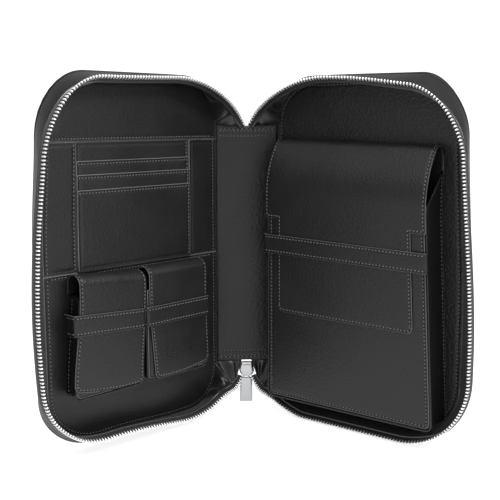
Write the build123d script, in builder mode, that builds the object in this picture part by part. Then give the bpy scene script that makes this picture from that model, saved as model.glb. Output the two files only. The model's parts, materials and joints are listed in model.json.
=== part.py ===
"""Zip-around leather case for fountain pens, ink and cards, standing open like a book.

Two stiff covers are sewn to a narrow spine.  Each cover carries a low leather wall on three
sides, and the wall carries half of one metal zip.  The left cover holds card slots and two
box pouches, the right cover one large box pouch.  All three pouches close with a flap whose
front slides down behind a strap.

Frame: +Z up, the case stands on the lower edges of its covers, and the opening faces -Y.
Each cover also has its own directions: u runs from the spine to the fore edge, z is up and
n points from the lining into the case.  All sizes are in millimetres.
"""
import os
from math import cos, radians, sin

from build123d import *

os.makedirs("parts", exist_ok=True)

# The stance: how far each cover is turned from closed, and the height of its middle.
COVER_ANGLE = 48.0
COVER_HEIGHT = 240.0
MIDDLE = COVER_HEIGHT / 2

# Covers, measured along u from the hinge line.
COVER_START = 0.5
COVER_END = 151.5
COVER_CORNER = 29.0
LEATHER = 1.2
BOARD = 2.0
LINING = 0.8
COVER_THICK = LEATHER + BOARD + LINING
LINING_INSET = 3.6
LINING_START = 3.0
LINING_CORNER = 30.0
LINING_SPINE_CORNER = 30.0

# Walls: they start on the cover's leather and lean out to the rim, whose corners are rounder.
WALL_FOOT = -COVER_THICK + LEATHER
WALL_TOP = 16.0
WALL_THICK = 1.4
WALL_LINING = 0.8
WALL_START = 16.0
RIM_START = -30.0
RIM_END = 160.0
RIM_HEIGHT = 233.0
RIM_CORNER = 47.0
RIM_SPINE_CORNER = 85.0
BINDING_TOP = 16.6
TAPE_TOP = 19.2
TAPE_INSET = 0.4
TAPE_THICK = 1.4
TEETH_TOP = 21.2
TEETH_INSET = 0.1
TEETH_THICK = 2.0

# Spine strip between the two hinge lines.
SPINE_WIDTH = 43.0
SPINE_HEIGHT = 172.0
SPINE_LINING = 1.0
SPINE_BOARD = 1.4
SPINE_THICK = SPINE_LINING + SPINE_BOARD + LEATHER
HINGE_GAP = 0.2
SPINE_EDGE = SPINE_WIDTH / 2 - HINGE_GAP
HINGE_STRIP = 0.8

# Soft webs and zip ends in the four corners beside the spine.
WEB_GAP = 0.4
WEB_STAND = 1.5
WEB_DEPTHS = (1.6, 15.0)
WEB_WALL_Z = 106.0
WEB_SPINE_Z = 94.0
WEB_THICK = 1.0
TOP_WEB_SPAN = (-20.0, -1.8)
FOOT_WEB_SPAN = (-20.0, -6.4)
CHAIN_DEPTHS = (16.8, 20.6)
CHAIN_WALL_Z = 105.0
CHAIN_TOP_Z = 88.6
CHAIN_FOOT_Z = 100.2
CHAIN_THICK = 2.4
TOP_CHAIN_SPAN = (-1.4, -0.2)
FOOT_CHAIN_SPAN = (-3.6, -1.0)

# Zip slider and its pull tab, below the foot of the spine.
SLIDER_TOP = 87.6
SLIDER_FOOT = 98.0
SLIDER_LENGTH = SLIDER_FOOT - SLIDER_TOP
SLIDER_WIDTH = 10.8
SLIDER_SLOPE = 82
SLIDER_PLATE = 1.0
SLIDER_BACK = -3.2
SLIDER_FRONT = 1.4
BRIDGE_WIDTH = 3.2
BRIDGE_BACK = 5.2
TAB_PIVOT_DROP = 93.0
TAB_PIVOT_Y = 3.3
TAB_THICK = 1.6
TAB_WIDTH = 9.4
TAB_SHOULDER = 100.4
TAB_FOOT = 119.3
TAB_NECK = 5.6
TAB_BEVEL = 0.5

# Card side of the left cover.
PANEL = 1.2
CARD_LAYER = 0.6
TOP_PANEL_EDGE = 76.7
LOWER_PANEL_EDGE = -3.8
CARD_START = 27.8
CARD_END = 122.8
CARD_SLOT_TOPS = (65.0, 56.5, 47.0)

# Two small box pouches on the left cover: (start, end) along u.
SMALL_POUCHES = ((82.6, 136.0), (25.0, 79.0))
SMALL_FOOT = -82.0
SMALL_MOUTH = -20.0
SMALL_DEPTH = 14.0
SMALL_STRAP_TOP = -29.0
SMALL_STRAP_BACK = 1.5
SMALL_FLAP_FOOT = -77.0
SMALL_FOLD_TOP = -4.6
SMALL_FOLD_FOOT = -16.0
SMALL_FOLD_RADIUS = 8.0

# One large box pouch on the right cover.
LARGE_START = 13.0
LARGE_END = 137.7
LARGE_FOOT = -102.8
LARGE_MOUTH_FRONT = 40.0
LARGE_MOUTH_BACK = 58.0
LARGE_DEPTH = 24.0
LARGE_STRAP_TOP = 10.0
LARGE_STRAP_RETURN = 1.5
LARGE_FLAP_STEP = 22.0
LARGE_FLAP_FOOT = -43.0
LARGE_TONGUE_INSET = 10.8
LARGE_FOLD_TOP = 75.5
LARGE_FOLD_FOOT = 50.0
LARGE_FOLD_RADIUS = 23.0

# Leather of the pouches, and the gaps that let a flap slide behind its strap.
POUCH_LEATHER = 1.2
FLAP_GAP = 0.3
FLAP_LEATHER = 1.0
STRAP_HEIGHT = 13.0
STRAP_LEATHER = 1.0
STRAP_GAP = 0.3
CORNER = 4.0

# The spine's inner face stands behind the middle, so that the footprint is centred on Y = 0.
TURN = radians(COVER_ANGLE)
FRONT_REACH = RIM_END * cos(TURN) + TEETH_TOP * sin(TURN)
SPINE_Y = (FRONT_REACH - BRIDGE_BACK) / 2

LEFT = -1
RIGHT = 1
SIDES = {"left": LEFT, "right": RIGHT}
UP = Vector(0, 0, 1)
pieces = {}


def along(side):
    """The direction u of a cover, from the hinge to the fore edge."""
    return Vector(side * sin(TURN), -cos(TURN), 0)


def inward(side):
    """The direction n of a cover, from the lining into the case."""
    return Vector(-side * cos(TURN), -sin(TURN), 0)


def place(side, u, z, n):
    """A point on a cover, given in the cover's own directions."""
    hinge = Vector(side * SPINE_WIDTH / 2, SPINE_Y, MIDDLE)
    return hinge + along(side) * u + inward(side) * n + UP * z


def upright(origin, x_dir):
    """An upright plane whose local y is +Z."""
    return Plane(origin=origin, x_dir=x_dir, z_dir=x_dir.cross(UP))


def cover_plane(side, n):
    """The plane parallel to a cover at depth n; local x is u, and side * z_dir points inward."""
    return upright(place(side, 0, 0, n), along(side))


def profile_plane(side, u):
    """The plane across a cover at u; local x is n, and -side * z_dir points along u."""
    return upright(place(side, u, 0, 0), inward(side))


def box_area(x0, x1, y0, y1, mode=Mode.ADD):
    """A rectangle between two corners, for the sketch being drawn."""
    with Locations(((x0 + x1) / 2, (y0 + y1) / 2)):
        Rectangle(x1 - x0, y1 - y0, mode=mode)


def rounded_outline(plane, start, end, height, corner, spine_corner):
    """A cover-shaped face: one radius at the fore edge, another beside the spine."""
    with BuildSketch(plane) as outline:
        box_area(start, end, -height / 2, height / 2)
        fillet(outline.vertices().group_by(Axis.X)[-1], corner)
        fillet(outline.vertices().group_by(Axis.X)[0], spine_corner)
    return outline.sketch


def lining_outline(plane):
    """The outline of the board and the lining, just inside the walls."""
    return rounded_outline(
        plane,
        LINING_START,
        COVER_END - LINING_INSET,
        COVER_HEIGHT - 2 * LINING_INSET,
        LINING_CORNER,
        LINING_SPINE_CORNER,
    )


def wall_outline(side, n, inset):
    """The wall's outline at depth n: it grows from the cover's shape to the rim's."""
    t = min(1.0, (n - WALL_FOOT) / (WALL_TOP - WALL_FOOT))
    start = COVER_START + t * (RIM_START - COVER_START)
    end = COVER_END + t * (RIM_END - COVER_END)
    height = COVER_HEIGHT + t * (RIM_HEIGHT - COVER_HEIGHT)
    corner = COVER_CORNER + t * (RIM_CORNER - COVER_CORNER)
    spine_corner = COVER_CORNER + t * (RIM_SPINE_CORNER - COVER_CORNER)
    return rounded_outline(
        cover_plane(side, n),
        start + inset,
        end - inset,
        height - 2 * inset,
        corner - inset,
        spine_corner - inset,
    )


def wall_band(side, foot, top, outer, inner):
    """A band round three sides of a cover, from depth foot to top."""
    with BuildPart() as band:
        loft([wall_outline(side, foot, outer), wall_outline(side, top, outer)], ruled=True)
        hollow = [wall_outline(side, foot, inner), wall_outline(side, top, inner)]
        loft(hollow, ruled=True, mode=Mode.SUBTRACT)
        with BuildSketch(cover_plane(side, foot - 1)):
            box_area(RIM_START - 10, WALL_START, -MIDDLE - 5, MIDDLE + 5)
        extrude(amount=side * (top - foot + 2), mode=Mode.SUBTRACT)
    return band


def plate(side, u0, u1, z0, z1, n0, n1):
    """A flat rectangular layer that lies parallel to a cover."""
    with BuildPart() as layer:
        with BuildSketch(cover_plane(side, n0)):
            box_area(u0, u1, z0, z1)
        extrude(amount=side * (n1 - n0))
    return layer


def lining_layer(side, z0, z1, n0, n1):
    """A layer with the lining's outline, kept between two heights."""
    with BuildPart() as layer:
        extrude(lining_outline(cover_plane(side, n0)), amount=side * (n1 - n0))
        with BuildSketch(cover_plane(side, n0)):
            box_area(COVER_START, COVER_END, z0, z1)
        extrude(amount=side * (n1 - n0), mode=Mode.INTERSECT)
    return layer


def pouch_gusset(side, u0, u1, foot, mouth, depth, back):
    """The two side walls and the floor of a box pouch, as one bent strip."""
    with BuildPart() as gusset:
        with BuildSketch(cover_plane(side, back)):
            box_area(u0, u1, foot, mouth)
            box_area(
                u0 + POUCH_LEATHER,
                u1 - POUCH_LEATHER,
                foot + POUCH_LEATHER,
                mouth + 1,
                mode=Mode.SUBTRACT,
            )
        extrude(amount=side * (depth - POUCH_LEATHER - back))
    return gusset


def strap(side, u0, u1, top, depth, back):
    """A strap over the front of a pouch whose ends turn back along its sides to depth back."""
    inside = depth + 2 * FLAP_GAP + FLAP_LEATHER
    reach = STRAP_GAP + STRAP_LEATHER
    with BuildPart() as band:
        with BuildSketch(cover_plane(side, back)):
            box_area(u0 - reach, u1 + reach, top - STRAP_HEIGHT, top)
        extrude(amount=side * (inside + STRAP_LEATHER - back))
        with BuildSketch(cover_plane(side, 0)):
            box_area(u0 - STRAP_GAP, u1 + STRAP_GAP, top - STRAP_HEIGHT - 1, top + 1)
        extrude(amount=side * inside, mode=Mode.SUBTRACT)
    return band


def flap_fold(side, u0, u1, foot, top, radius, depth, back):
    """The part of a flap that arches from its seam over the mouth of the pouch."""
    outer = depth + FLAP_GAP + FLAP_LEATHER
    with BuildPart() as fold:
        with BuildSketch(profile_plane(side, u0)) as section:
            box_area(back, outer, foot, top)
            bend = section.vertices().group_by(Axis.Y)[-1].sort_by(Axis.X)[-1]
            fillet(bend, radius)
            with BuildSketch(mode=Mode.SUBTRACT) as hollow:
                box_area(back - 1, outer - FLAP_LEATHER, foot - 1, top - FLAP_LEATHER)
                bend = hollow.vertices().group_by(Axis.Y)[-1].sort_by(Axis.X)[-1]
                fillet(bend, radius - FLAP_LEATHER)
        extrude(amount=-side * (u1 - u0))
    return fold


def corner_web(side, depths, z_wall, across, z_spine, thick):
    """A soft web from the end of a wall, between two depths, to a stretch of the spine's end."""
    with BuildPart() as web:
        with BuildSketch(upright(place(side, WALL_START - WEB_GAP, 0, 0), inward(side))):
            box_area(*depths, z_wall - thick / 2, z_wall + thick / 2)
        spine_end = Vector(0, SPINE_Y - WEB_STAND, MIDDLE)
        with BuildSketch(upright(spine_end, Vector(-side, 0, 0))):
            box_area(*across, z_spine - thick / 2, z_spine + thick / 2)
        loft(ruled=True)
    return web


def spine_layer(y0, y1, height):
    """One layer of the spine strip, between two distances behind its inner face."""
    with BuildPart() as layer:
        with BuildSketch(Plane.XY.offset(MIDDLE - height / 2)):
            box_area(-SPINE_EDGE, SPINE_EDGE, SPINE_Y + y0, SPINE_Y + y1)
        extrude(amount=height)
    return layer


def slider_outline(plane):
    """A slider plate seen from the front: narrow shoulder up, rounded foot down."""
    middle = MIDDLE - (SLIDER_TOP + SLIDER_FOOT) / 2
    with BuildSketch(plane) as outline:
        with Locations((0, middle)):
            Trapezoid(SLIDER_WIDTH, SLIDER_LENGTH, SLIDER_SLOPE)
        fillet(outline.vertices().group_by(Axis.Y)[0], 3.0)
        fillet(outline.vertices().group_by(Axis.Y)[-1], 1.0)
    return outline.sketch


# Spine: leather outside, stiff board, leather lining inside.
pieces["spine_lining"] = spine_layer(0, SPINE_LINING, SPINE_HEIGHT)
pieces["spine_board"] = spine_layer(SPINE_LINING, SPINE_LINING + SPINE_BOARD, SPINE_HEIGHT - 4)
pieces["spine_leather"] = spine_layer(SPINE_LINING + SPINE_BOARD, SPINE_THICK, SPINE_HEIGHT)

for name, side in SIDES.items():
    # Hinge strip: soft leather that closes the gap between the spine's and the cover's leather.
    with BuildPart() as hinge_strip:
        with BuildSketch(Plane.XY.offset(MIDDLE - SPINE_HEIGHT / 2)):
            spine_edge = side * (SPINE_EDGE + HINGE_GAP / 2)
            cover_edge = COVER_START - HINGE_GAP
            outer = place(side, cover_edge, 0, -COVER_THICK + HINGE_GAP)
            inner = place(side, cover_edge, 0, -COVER_THICK + HINGE_GAP + HINGE_STRIP)
            spine_back = SPINE_Y + SPINE_THICK - HINGE_GAP
            with BuildLine():
                Polyline(
                    (spine_edge, spine_back),
                    (outer.X, outer.Y),
                    (inner.X, inner.Y),
                    (spine_edge, spine_back - HINGE_STRIP),
                    close=True,
                )
            make_face()
        extrude(amount=SPINE_HEIGHT)
    pieces[f"{name}_hinge_strip"] = hinge_strip

    # Cover: a leather face with rounded corners on all four sides.
    with BuildPart() as face:
        whole_face = rounded_outline(
            cover_plane(side, -COVER_THICK),
            COVER_START,
            COVER_END,
            COVER_HEIGHT,
            COVER_CORNER,
            COVER_CORNER,
        )
        extrude(whole_face, amount=side * LEATHER)
    pieces[f"{name}_cover_leather"] = face
    pieces[f"{name}_board"] = lining_layer(side, -MIDDLE, MIDDLE, WALL_FOOT, -LINING)
    pieces[f"{name}_lining"] = lining_layer(side, -MIDDLE, MIDDLE, -LINING, 0)

    # Wall, its inside lining, the binding and half of the zip.
    inside = WALL_THICK + WALL_LINING
    pieces[f"{name}_wall"] = wall_band(side, WALL_FOOT, WALL_TOP, 0, WALL_THICK)
    pieces[f"{name}_wall_lining"] = wall_band(side, WALL_FOOT, WALL_TOP, WALL_THICK, inside)
    pieces[f"{name}_binding"] = wall_band(side, WALL_TOP, BINDING_TOP, 0, inside)
    tape = (TAPE_INSET, TAPE_INSET + TAPE_THICK)
    pieces[f"{name}_zip_tape"] = wall_band(side, BINDING_TOP, TAPE_TOP, *tape)
    teeth = (TEETH_INSET, TEETH_INSET + TEETH_THICK)
    pieces[f"{name}_zip_teeth"] = wall_band(side, TAPE_TOP, TEETH_TOP, *teeth)

    # Corners beside the spine: a soft web, and the end of the zip that runs along it.
    pieces[f"{name}_top_web"] = corner_web(
        side, WEB_DEPTHS, WEB_WALL_Z, TOP_WEB_SPAN, WEB_SPINE_Z, WEB_THICK
    )
    pieces[f"{name}_foot_web"] = corner_web(
        side, WEB_DEPTHS, -WEB_WALL_Z, FOOT_WEB_SPAN, -WEB_SPINE_Z, WEB_THICK
    )
    pieces[f"{name}_top_zip_end"] = corner_web(
        side, CHAIN_DEPTHS, CHAIN_WALL_Z, TOP_CHAIN_SPAN, CHAIN_TOP_Z, CHAIN_THICK
    )
    pieces[f"{name}_foot_zip_end"] = corner_web(
        side, CHAIN_DEPTHS, -CHAIN_WALL_Z, FOOT_CHAIN_SPAN, -CHAIN_FOOT_Z, CHAIN_THICK
    )

# Zip stop at the head of the spine.
with BuildPart() as stop:
    with BuildSketch(Plane.XY.offset(MIDDLE + SPINE_HEIGHT / 2 + 1)):
        box_area(-1.8, 1.8, SPINE_Y - 1.2, SPINE_Y + 0.6)
    extrude(amount=3.0)
pieces["zip_stop"] = stop

# Slider: two plates joined by a core, with the zip's two rows passing on either side.
with BuildPart() as slider:
    inner_face = slider_outline(Plane.XZ.offset(-(SPINE_Y + SLIDER_BACK)))
    extrude(inner_face, amount=-SLIDER_PLATE)
    outer_face = slider_outline(Plane.XZ.offset(-(SPINE_Y + SLIDER_FRONT)))
    extrude(outer_face, amount=SLIDER_PLATE)
    with BuildSketch(Plane.XZ.offset(-(SPINE_Y + SLIDER_BACK + SLIDER_PLATE / 2))):
        box_area(-0.8, 0.8, MIDDLE - SLIDER_FOOT + 2, MIDDLE - SLIDER_TOP - 0.6)
    extrude(amount=-(SLIDER_FRONT - SLIDER_BACK - SLIDER_PLATE))
pieces["slider_body"] = slider

# Bridge: the loop on the back of the slider that holds the pull tab.
with BuildPart() as bridge:
    with BuildSketch(Plane.YZ.offset(-BRIDGE_WIDTH / 2)):
        low = MIDDLE - SLIDER_FOOT + 1.4
        high = MIDDLE - SLIDER_TOP - 1.4
        box_area(SPINE_Y + SLIDER_FRONT, SPINE_Y + BRIDGE_BACK, low, high)
        box_area(
            SPINE_Y + SLIDER_FRONT - 1,
            SPINE_Y + BRIDGE_BACK - 0.8,
            low + 1.2,
            high - 1.2,
            mode=Mode.SUBTRACT,
        )
    extrude(amount=BRIDGE_WIDTH)
pieces["slider_bridge"] = bridge

# Pull tab: a ring round the bridge, a neck and a plain flat tab with bevelled edges.
with BuildPart() as tab:
    face_y = SPINE_Y + TAB_PIVOT_Y - TAB_THICK / 2
    foot = MIDDLE - TAB_FOOT
    shoulder = MIDDLE - TAB_SHOULDER
    pivot = MIDDLE - TAB_PIVOT_DROP
    with BuildSketch(Plane.XZ.offset(-face_y)) as flat:
        box_area(-TAB_WIDTH / 2, TAB_WIDTH / 2, foot, shoulder)
        fillet(flat.vertices(), 1.0)
    extrude(amount=-TAB_THICK)
    chamfer(tab.faces().filter_by(Axis.Y).edges(), TAB_BEVEL)
    with BuildSketch(Plane.XZ.offset(-(face_y + 0.3))):
        box_area(-TAB_NECK / 2, TAB_NECK / 2, shoulder - 1, pivot + 1.2)
        box_area(-2.2, 2.2, shoulder + 1.2, pivot + 0.2, mode=Mode.SUBTRACT)
    extrude(amount=-(TAB_THICK - 0.6))
pieces["pull_tab"] = tab

# Left cover: sewn panels and three stepped card slots.
pieces["top_panel"] = lining_layer(LEFT, TOP_PANEL_EDGE, MIDDLE, 0, PANEL)
pieces["lower_panel"] = lining_layer(LEFT, -MIDDLE, LOWER_PANEL_EDGE, 0, PANEL)
card_band = (LOWER_PANEL_EDGE, TOP_PANEL_EDGE)
fore_edge = COVER_END - LINING_INSET
pieces["card_side_outer"] = plate(LEFT, CARD_END, fore_edge, *card_band, 0, PANEL)
pieces["card_side_inner"] = plate(LEFT, LINING_START, CARD_START, *card_band, 0, PANEL)
pieces["card_back"] = plate(LEFT, CARD_START, CARD_END, *card_band, 0, CARD_LAYER)
for number, top in enumerate(CARD_SLOT_TOPS, start=1):
    low = number * CARD_LAYER
    pieces[f"card_slot_{number}"] = plate(
        LEFT, CARD_START, CARD_END, LOWER_PANEL_EDGE, top, low, low + CARD_LAYER
    )

# Left cover: two small box pouches, numbered from the fore edge.
for number, (start, end) in enumerate(SMALL_POUCHES, start=1):
    name = f"small_pouch_{number}"
    front = SMALL_DEPTH - POUCH_LEATHER
    cover_side = SMALL_DEPTH + FLAP_GAP
    pieces[f"{name}_gusset"] = pouch_gusset(
        LEFT, start, end, SMALL_FOOT, SMALL_MOUTH, SMALL_DEPTH, PANEL
    )
    pieces[f"{name}_front"] = plate(
        LEFT, start, end, SMALL_FOOT, SMALL_MOUTH, front, SMALL_DEPTH
    )
    pieces[f"{name}_strap"] = strap(
        LEFT, start, end, SMALL_STRAP_TOP, SMALL_DEPTH, SMALL_STRAP_BACK
    )
    with BuildPart() as flap:
        with BuildSketch(cover_plane(LEFT, cover_side)) as shape:
            box_area(start, end, SMALL_FLAP_FOOT, SMALL_FOLD_FOOT)
            fillet(shape.vertices().group_by(Axis.Y)[0], CORNER)
        extrude(amount=LEFT * FLAP_LEATHER)
    pieces[f"{name}_flap"] = flap
    pieces[f"{name}_flap_fold"] = flap_fold(
        LEFT,
        start,
        end,
        SMALL_FOLD_FOOT,
        SMALL_FOLD_TOP,
        SMALL_FOLD_RADIUS,
        SMALL_DEPTH,
        PANEL,
    )

# Right cover: one large box pouch whose side walls dip towards the front.
pieces["large_pouch_back"] = plate(
    RIGHT, LARGE_START, LARGE_END, LARGE_FOOT, LARGE_FOLD_TOP - 2, 0, PANEL
)
with BuildPart() as gusset:
    add(
        pouch_gusset(
            RIGHT,
            LARGE_START,
            LARGE_END,
            LARGE_FOOT,
            LARGE_MOUTH_BACK,
            LARGE_DEPTH,
            PANEL,
        ).part
    )
    with BuildSketch(profile_plane(RIGHT, LARGE_START - 1)):
        with BuildLine():
            Polyline(
                (PANEL, LARGE_MOUTH_BACK),
                (LARGE_DEPTH, LARGE_MOUTH_FRONT),
                (LARGE_DEPTH, LARGE_MOUTH_BACK + 1),
                (PANEL, LARGE_MOUTH_BACK + 1),
                close=True,
            )
        make_face()
    extrude(amount=-RIGHT * (LARGE_END - LARGE_START + 2), mode=Mode.SUBTRACT)
pieces["large_pouch_gusset"] = gusset
pieces["large_pouch_front"] = plate(
    RIGHT,
    LARGE_START,
    LARGE_END,
    LARGE_FOOT,
    LARGE_MOUTH_FRONT,
    LARGE_DEPTH - POUCH_LEATHER,
    LARGE_DEPTH,
)
pieces["large_pouch_strap"] = strap(
    RIGHT, LARGE_START, LARGE_END, LARGE_STRAP_TOP, LARGE_DEPTH, LARGE_DEPTH - LARGE_STRAP_RETURN
)
with BuildPart() as flap:
    with BuildSketch(cover_plane(RIGHT, LARGE_DEPTH + FLAP_GAP)) as shape:
        box_area(
            LARGE_START + LARGE_TONGUE_INSET,
            LARGE_END - LARGE_TONGUE_INSET,
            LARGE_FLAP_FOOT,
            LARGE_FLAP_STEP,
        )
        fillet(shape.vertices().group_by(Axis.Y)[0], CORNER)
        box_area(LARGE_START, LARGE_END, LARGE_FLAP_STEP, LARGE_FOLD_FOOT)
    extrude(amount=RIGHT * FLAP_LEATHER)
pieces["large_pouch_flap"] = flap
pieces["large_pouch_flap_fold"] = flap_fold(
    RIGHT,
    LARGE_START,
    LARGE_END,
    LARGE_FOLD_FOOT,
    LARGE_FOLD_TOP,
    LARGE_FOLD_RADIUS,
    LARGE_DEPTH,
    PANEL,
)

for label, piece in pieces.items():
    piece.part.label = label
    export_step(piece.part, f"parts/{label}.step")
print(len(pieces), "pieces")
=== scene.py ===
# %% [markdown]
# # A zip-around leather case for fountain pens
#
# This lesson builds the visible model of an open leather case.  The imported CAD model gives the
# frame: where the hinges are, how far the covers are turned and which rigid body each piece
# follows.  Every piece below is real geometry with a thickness, laid out in the cover's own
# directions: u from the hinge to the fore edge, z up, n from the lining into the case.

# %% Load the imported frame
import json
import math

import bmesh
import bpy
import numpy as np
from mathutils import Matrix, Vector

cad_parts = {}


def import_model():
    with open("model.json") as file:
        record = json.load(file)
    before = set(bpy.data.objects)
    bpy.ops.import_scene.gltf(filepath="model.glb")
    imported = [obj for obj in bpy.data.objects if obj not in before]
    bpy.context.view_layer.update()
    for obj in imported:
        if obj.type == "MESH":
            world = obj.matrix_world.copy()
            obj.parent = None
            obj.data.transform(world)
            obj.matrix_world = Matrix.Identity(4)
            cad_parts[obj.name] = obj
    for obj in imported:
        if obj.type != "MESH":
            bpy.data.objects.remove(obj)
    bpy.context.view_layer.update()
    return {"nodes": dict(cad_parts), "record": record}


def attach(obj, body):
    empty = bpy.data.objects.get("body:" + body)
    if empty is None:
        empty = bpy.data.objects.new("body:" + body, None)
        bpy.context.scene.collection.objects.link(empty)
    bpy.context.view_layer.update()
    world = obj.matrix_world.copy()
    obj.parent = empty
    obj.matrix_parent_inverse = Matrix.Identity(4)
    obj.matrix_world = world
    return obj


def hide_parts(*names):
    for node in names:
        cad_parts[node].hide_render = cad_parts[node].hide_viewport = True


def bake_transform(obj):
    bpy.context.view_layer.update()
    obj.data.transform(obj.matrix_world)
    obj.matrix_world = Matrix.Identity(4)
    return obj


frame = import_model()

# %% [markdown]
# ## The covers' own directions
#
# The two hinge axes are upright, one at each edge of the spine.  A piece on a cover is easiest
# to describe flat, in millimetres, and then turned into place.  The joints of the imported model
# say where the hinges are, and the closing angle says how far each cover is open.

# %% Directions and places
LEFT = -1
RIGHT = 1
NAMES = {LEFT: "left", RIGHT: "right"}
COVERS = {LEFT: "left_cover", RIGHT: "right_cover"}
TO_METRES = 0.001

joints = {joint["name"]: joint for joint in frame["record"]["behaviour"]["joints"]}
right_hinge = joints["right_cover_hinge"]
HINGE_X, SPINE_Y, MIDDLE = (value / TO_METRES for value in right_hinge["pos_m"])
TURN = math.radians(-right_hinge["range_deg"][0])


def on_cover(side, u, z, n):
    """World points, in millimetres, of places on a cover; numbers or arrays."""
    u, z, n = np.broadcast_arrays(np.asarray(u, float), z, n)
    x = side * (HINGE_X + u * math.sin(TURN) - n * math.cos(TURN))
    y = SPINE_Y - u * math.cos(TURN) - n * math.sin(TURN)
    return np.stack([x, y, MIDDLE + z], axis=-1)


print("hinges at x = +-%.1f mm, covers %.0f degrees from closed" % (HINGE_X, math.degrees(TURN)))


def smooth(x):
    """A smooth step from 0 to 1."""
    x = np.clip(x, 0, 1)
    return x * x * (3 - 2 * x)


# %% [markdown]
# ## A soft case is not square
#
# The boards are rectangles, but the sewn case around them has relaxed.  The fore edge of each
# cover draws in toward its head, the left cover's foot lifts at the fore corner, and the large
# pouch on the right leans toward the spine.  These few millimetres are what makes leather look
# like leather, so the flat places of every piece pass through one of these small shifts.

# %% How the leather has relaxed
HEAD_DRAW = {LEFT: 4.2, RIGHT: 6.0}
FORE_DRAW = {LEFT: 0.0, RIGHT: 2.0}
DRAW_FROM = {LEFT: 10.0, RIGHT: -40.0}
DRAW_OVER = {LEFT: 80.0, RIGHT: 140.0}
FOOT_LIFT = {LEFT: 3.0, RIGHT: 0.0}
LIFT_FROM, LIFT_OVER = 40.0, 60.0
LIFT_BELOW, LIFT_DEPTH = 80.0, 35.0
EDGE_FROM, EDGE_OVER = 104.0, 44.0

LARGE_U = (13.0, 137.7)
LARGE_WIDTH = LARGE_U[1] - LARGE_U[0]
POUCH_LEAN = 0.00044
POUCH_LEAN_FROM, POUCH_LEAN_HEIGHT = -103.0, 136.0
POUCH_SAG, POUCH_SAG_MIDDLE, POUCH_SAG_OVER = 0.022, 70.0, 110.0
BODY_SPREAD = 2.4
FLAP_SPREAD = 1.6

SMALL = {1: (82.6, 136.0), 2: (25.0, 79.0)}
OUTER_TILT = 3.8
OUTER_MOVE, OUTER_MOVE_MORE = 3.5, 1.1


def relaxed(side, u, z):
    """Where a place on a cover has moved to, now that the leather has relaxed."""
    u, z = np.broadcast_arrays(np.asarray(u, float), np.asarray(z, float))
    toward_edge = smooth((u - EDGE_FROM) / EDGE_OVER)
    draw = FORE_DRAW[side] + HEAD_DRAW[side] * smooth((z - DRAW_FROM[side]) / DRAW_OVER[side])
    lift = FOOT_LIFT[side] * smooth((u - LIFT_FROM) / LIFT_OVER)
    lift = lift * smooth((-z - LIFT_BELOW) / LIFT_DEPTH)
    return u - draw * toward_edge, z + lift


def leaning(u, z):
    """Where a place on the large pouch has moved to."""
    u, z = np.broadcast_arrays(np.asarray(u, float), np.asarray(z, float))
    height = np.clip(z - POUCH_LEAN_FROM, 0.0, POUCH_LEAN_HEIGHT)
    u = u - BODY_SPREAD * (LARGE_U[1] - u) / LARGE_WIDTH
    sag = POUCH_SAG * (u - POUCH_SAG_MIDDLE) * smooth(height / POUCH_SAG_OVER)
    return u * (1 - POUCH_LEAN * height), z - sag


def spread(u, z):
    """The large flap and its strap are a little wider than the pouch, toward the spine."""
    u = np.asarray(u, float)
    return leaning(u - FLAP_SPREAD * (LARGE_U[1] - u) / LARGE_WIDTH, z)


def drawn_in(u, z):
    """Where a place on the outer small pouch has moved to: its mouth sits nearer the spine."""
    u, z = np.broadcast_arrays(np.asarray(u, float), np.asarray(z, float))
    share = (u - SMALL[1][0]) / (SMALL[1][1] - SMALL[1][0])
    moved = u - (OUTER_MOVE + OUTER_MOVE_MORE * share) * smooth((z + 76.0) / 60.0)
    return moved, z + OUTER_TILT * (share - 0.5) * smooth((z + 80.0) / 50.0)


def tilted(u, z):
    """The outer small pouch's strap: it tilts with the pouch but has not moved along."""
    return upright(u, z)[0], drawn_in(u, z)[1]


def upright(u, z):
    """A pouch that has kept its place."""
    return np.broadcast_arrays(np.asarray(u, float), np.asarray(z, float))


# %% [markdown]
# ## Colour and nodes
#
# Colours are written as sRGB hex, the way a paint or leather swatch is read on a screen, and the
# shader wants linear light.  A small function adds one node with its settings and its links, so
# that each material reads as a short recipe.

# %% Colour and node helpers
def linear(hex_colour):
    """Linear RGBA from an sRGB hex colour such as '#1a1a1b'."""
    channels = [int(hex_colour[i : i + 2], 16) / 255 for i in (1, 3, 5)]
    toe, slope, offset, gain, power = 0.04045, 12.92, 0.055, 1.055, 2.4
    light = [c / slope if c <= toe else ((c + offset) / gain) ** power for c in channels]
    return (*light, 1.0)


def node(tree, kind, inputs=None, **settings):
    """Add a node; an input that is an output socket gets linked, any other value gets set."""
    made = tree.nodes.new(kind)
    for key, value in settings.items():
        setattr(made, key, value)
    for key, value in (inputs or {}).items():
        if isinstance(value, bpy.types.NodeSocket):
            tree.links.new(value, made.inputs[key])
        else:
            made.inputs[key].default_value = value
    return made


def new_material(name):
    """An empty material: its tree, its object coordinates in metres and its shader."""
    material = bpy.data.materials.new(name)
    material.use_nodes = True
    tree = material.node_tree
    tree.nodes.clear()
    place = node(tree, "ShaderNodeTexCoord").outputs["Object"]
    shader = node(tree, "ShaderNodeBsdfPrincipled")
    out = node(tree, "ShaderNodeOutputMaterial", {"Surface": shader.outputs["BSDF"]})
    out.is_active_output = True
    return material, tree, place, shader


def set_inputs(tree, shader, **values):
    """Set or link inputs of a shader whose names hold spaces, written with underscores."""
    for key, value in values.items():
        socket = shader.inputs[key.replace("_", " ")]
        if isinstance(value, bpy.types.NodeSocket):
            tree.links.new(value, socket)
        else:
            socket.default_value = value


def spots_per_metre(size_mm):
    """A texture scale whose pattern repeats about every size_mm."""
    return 1.0 / (size_mm * TO_METRES)


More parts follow.
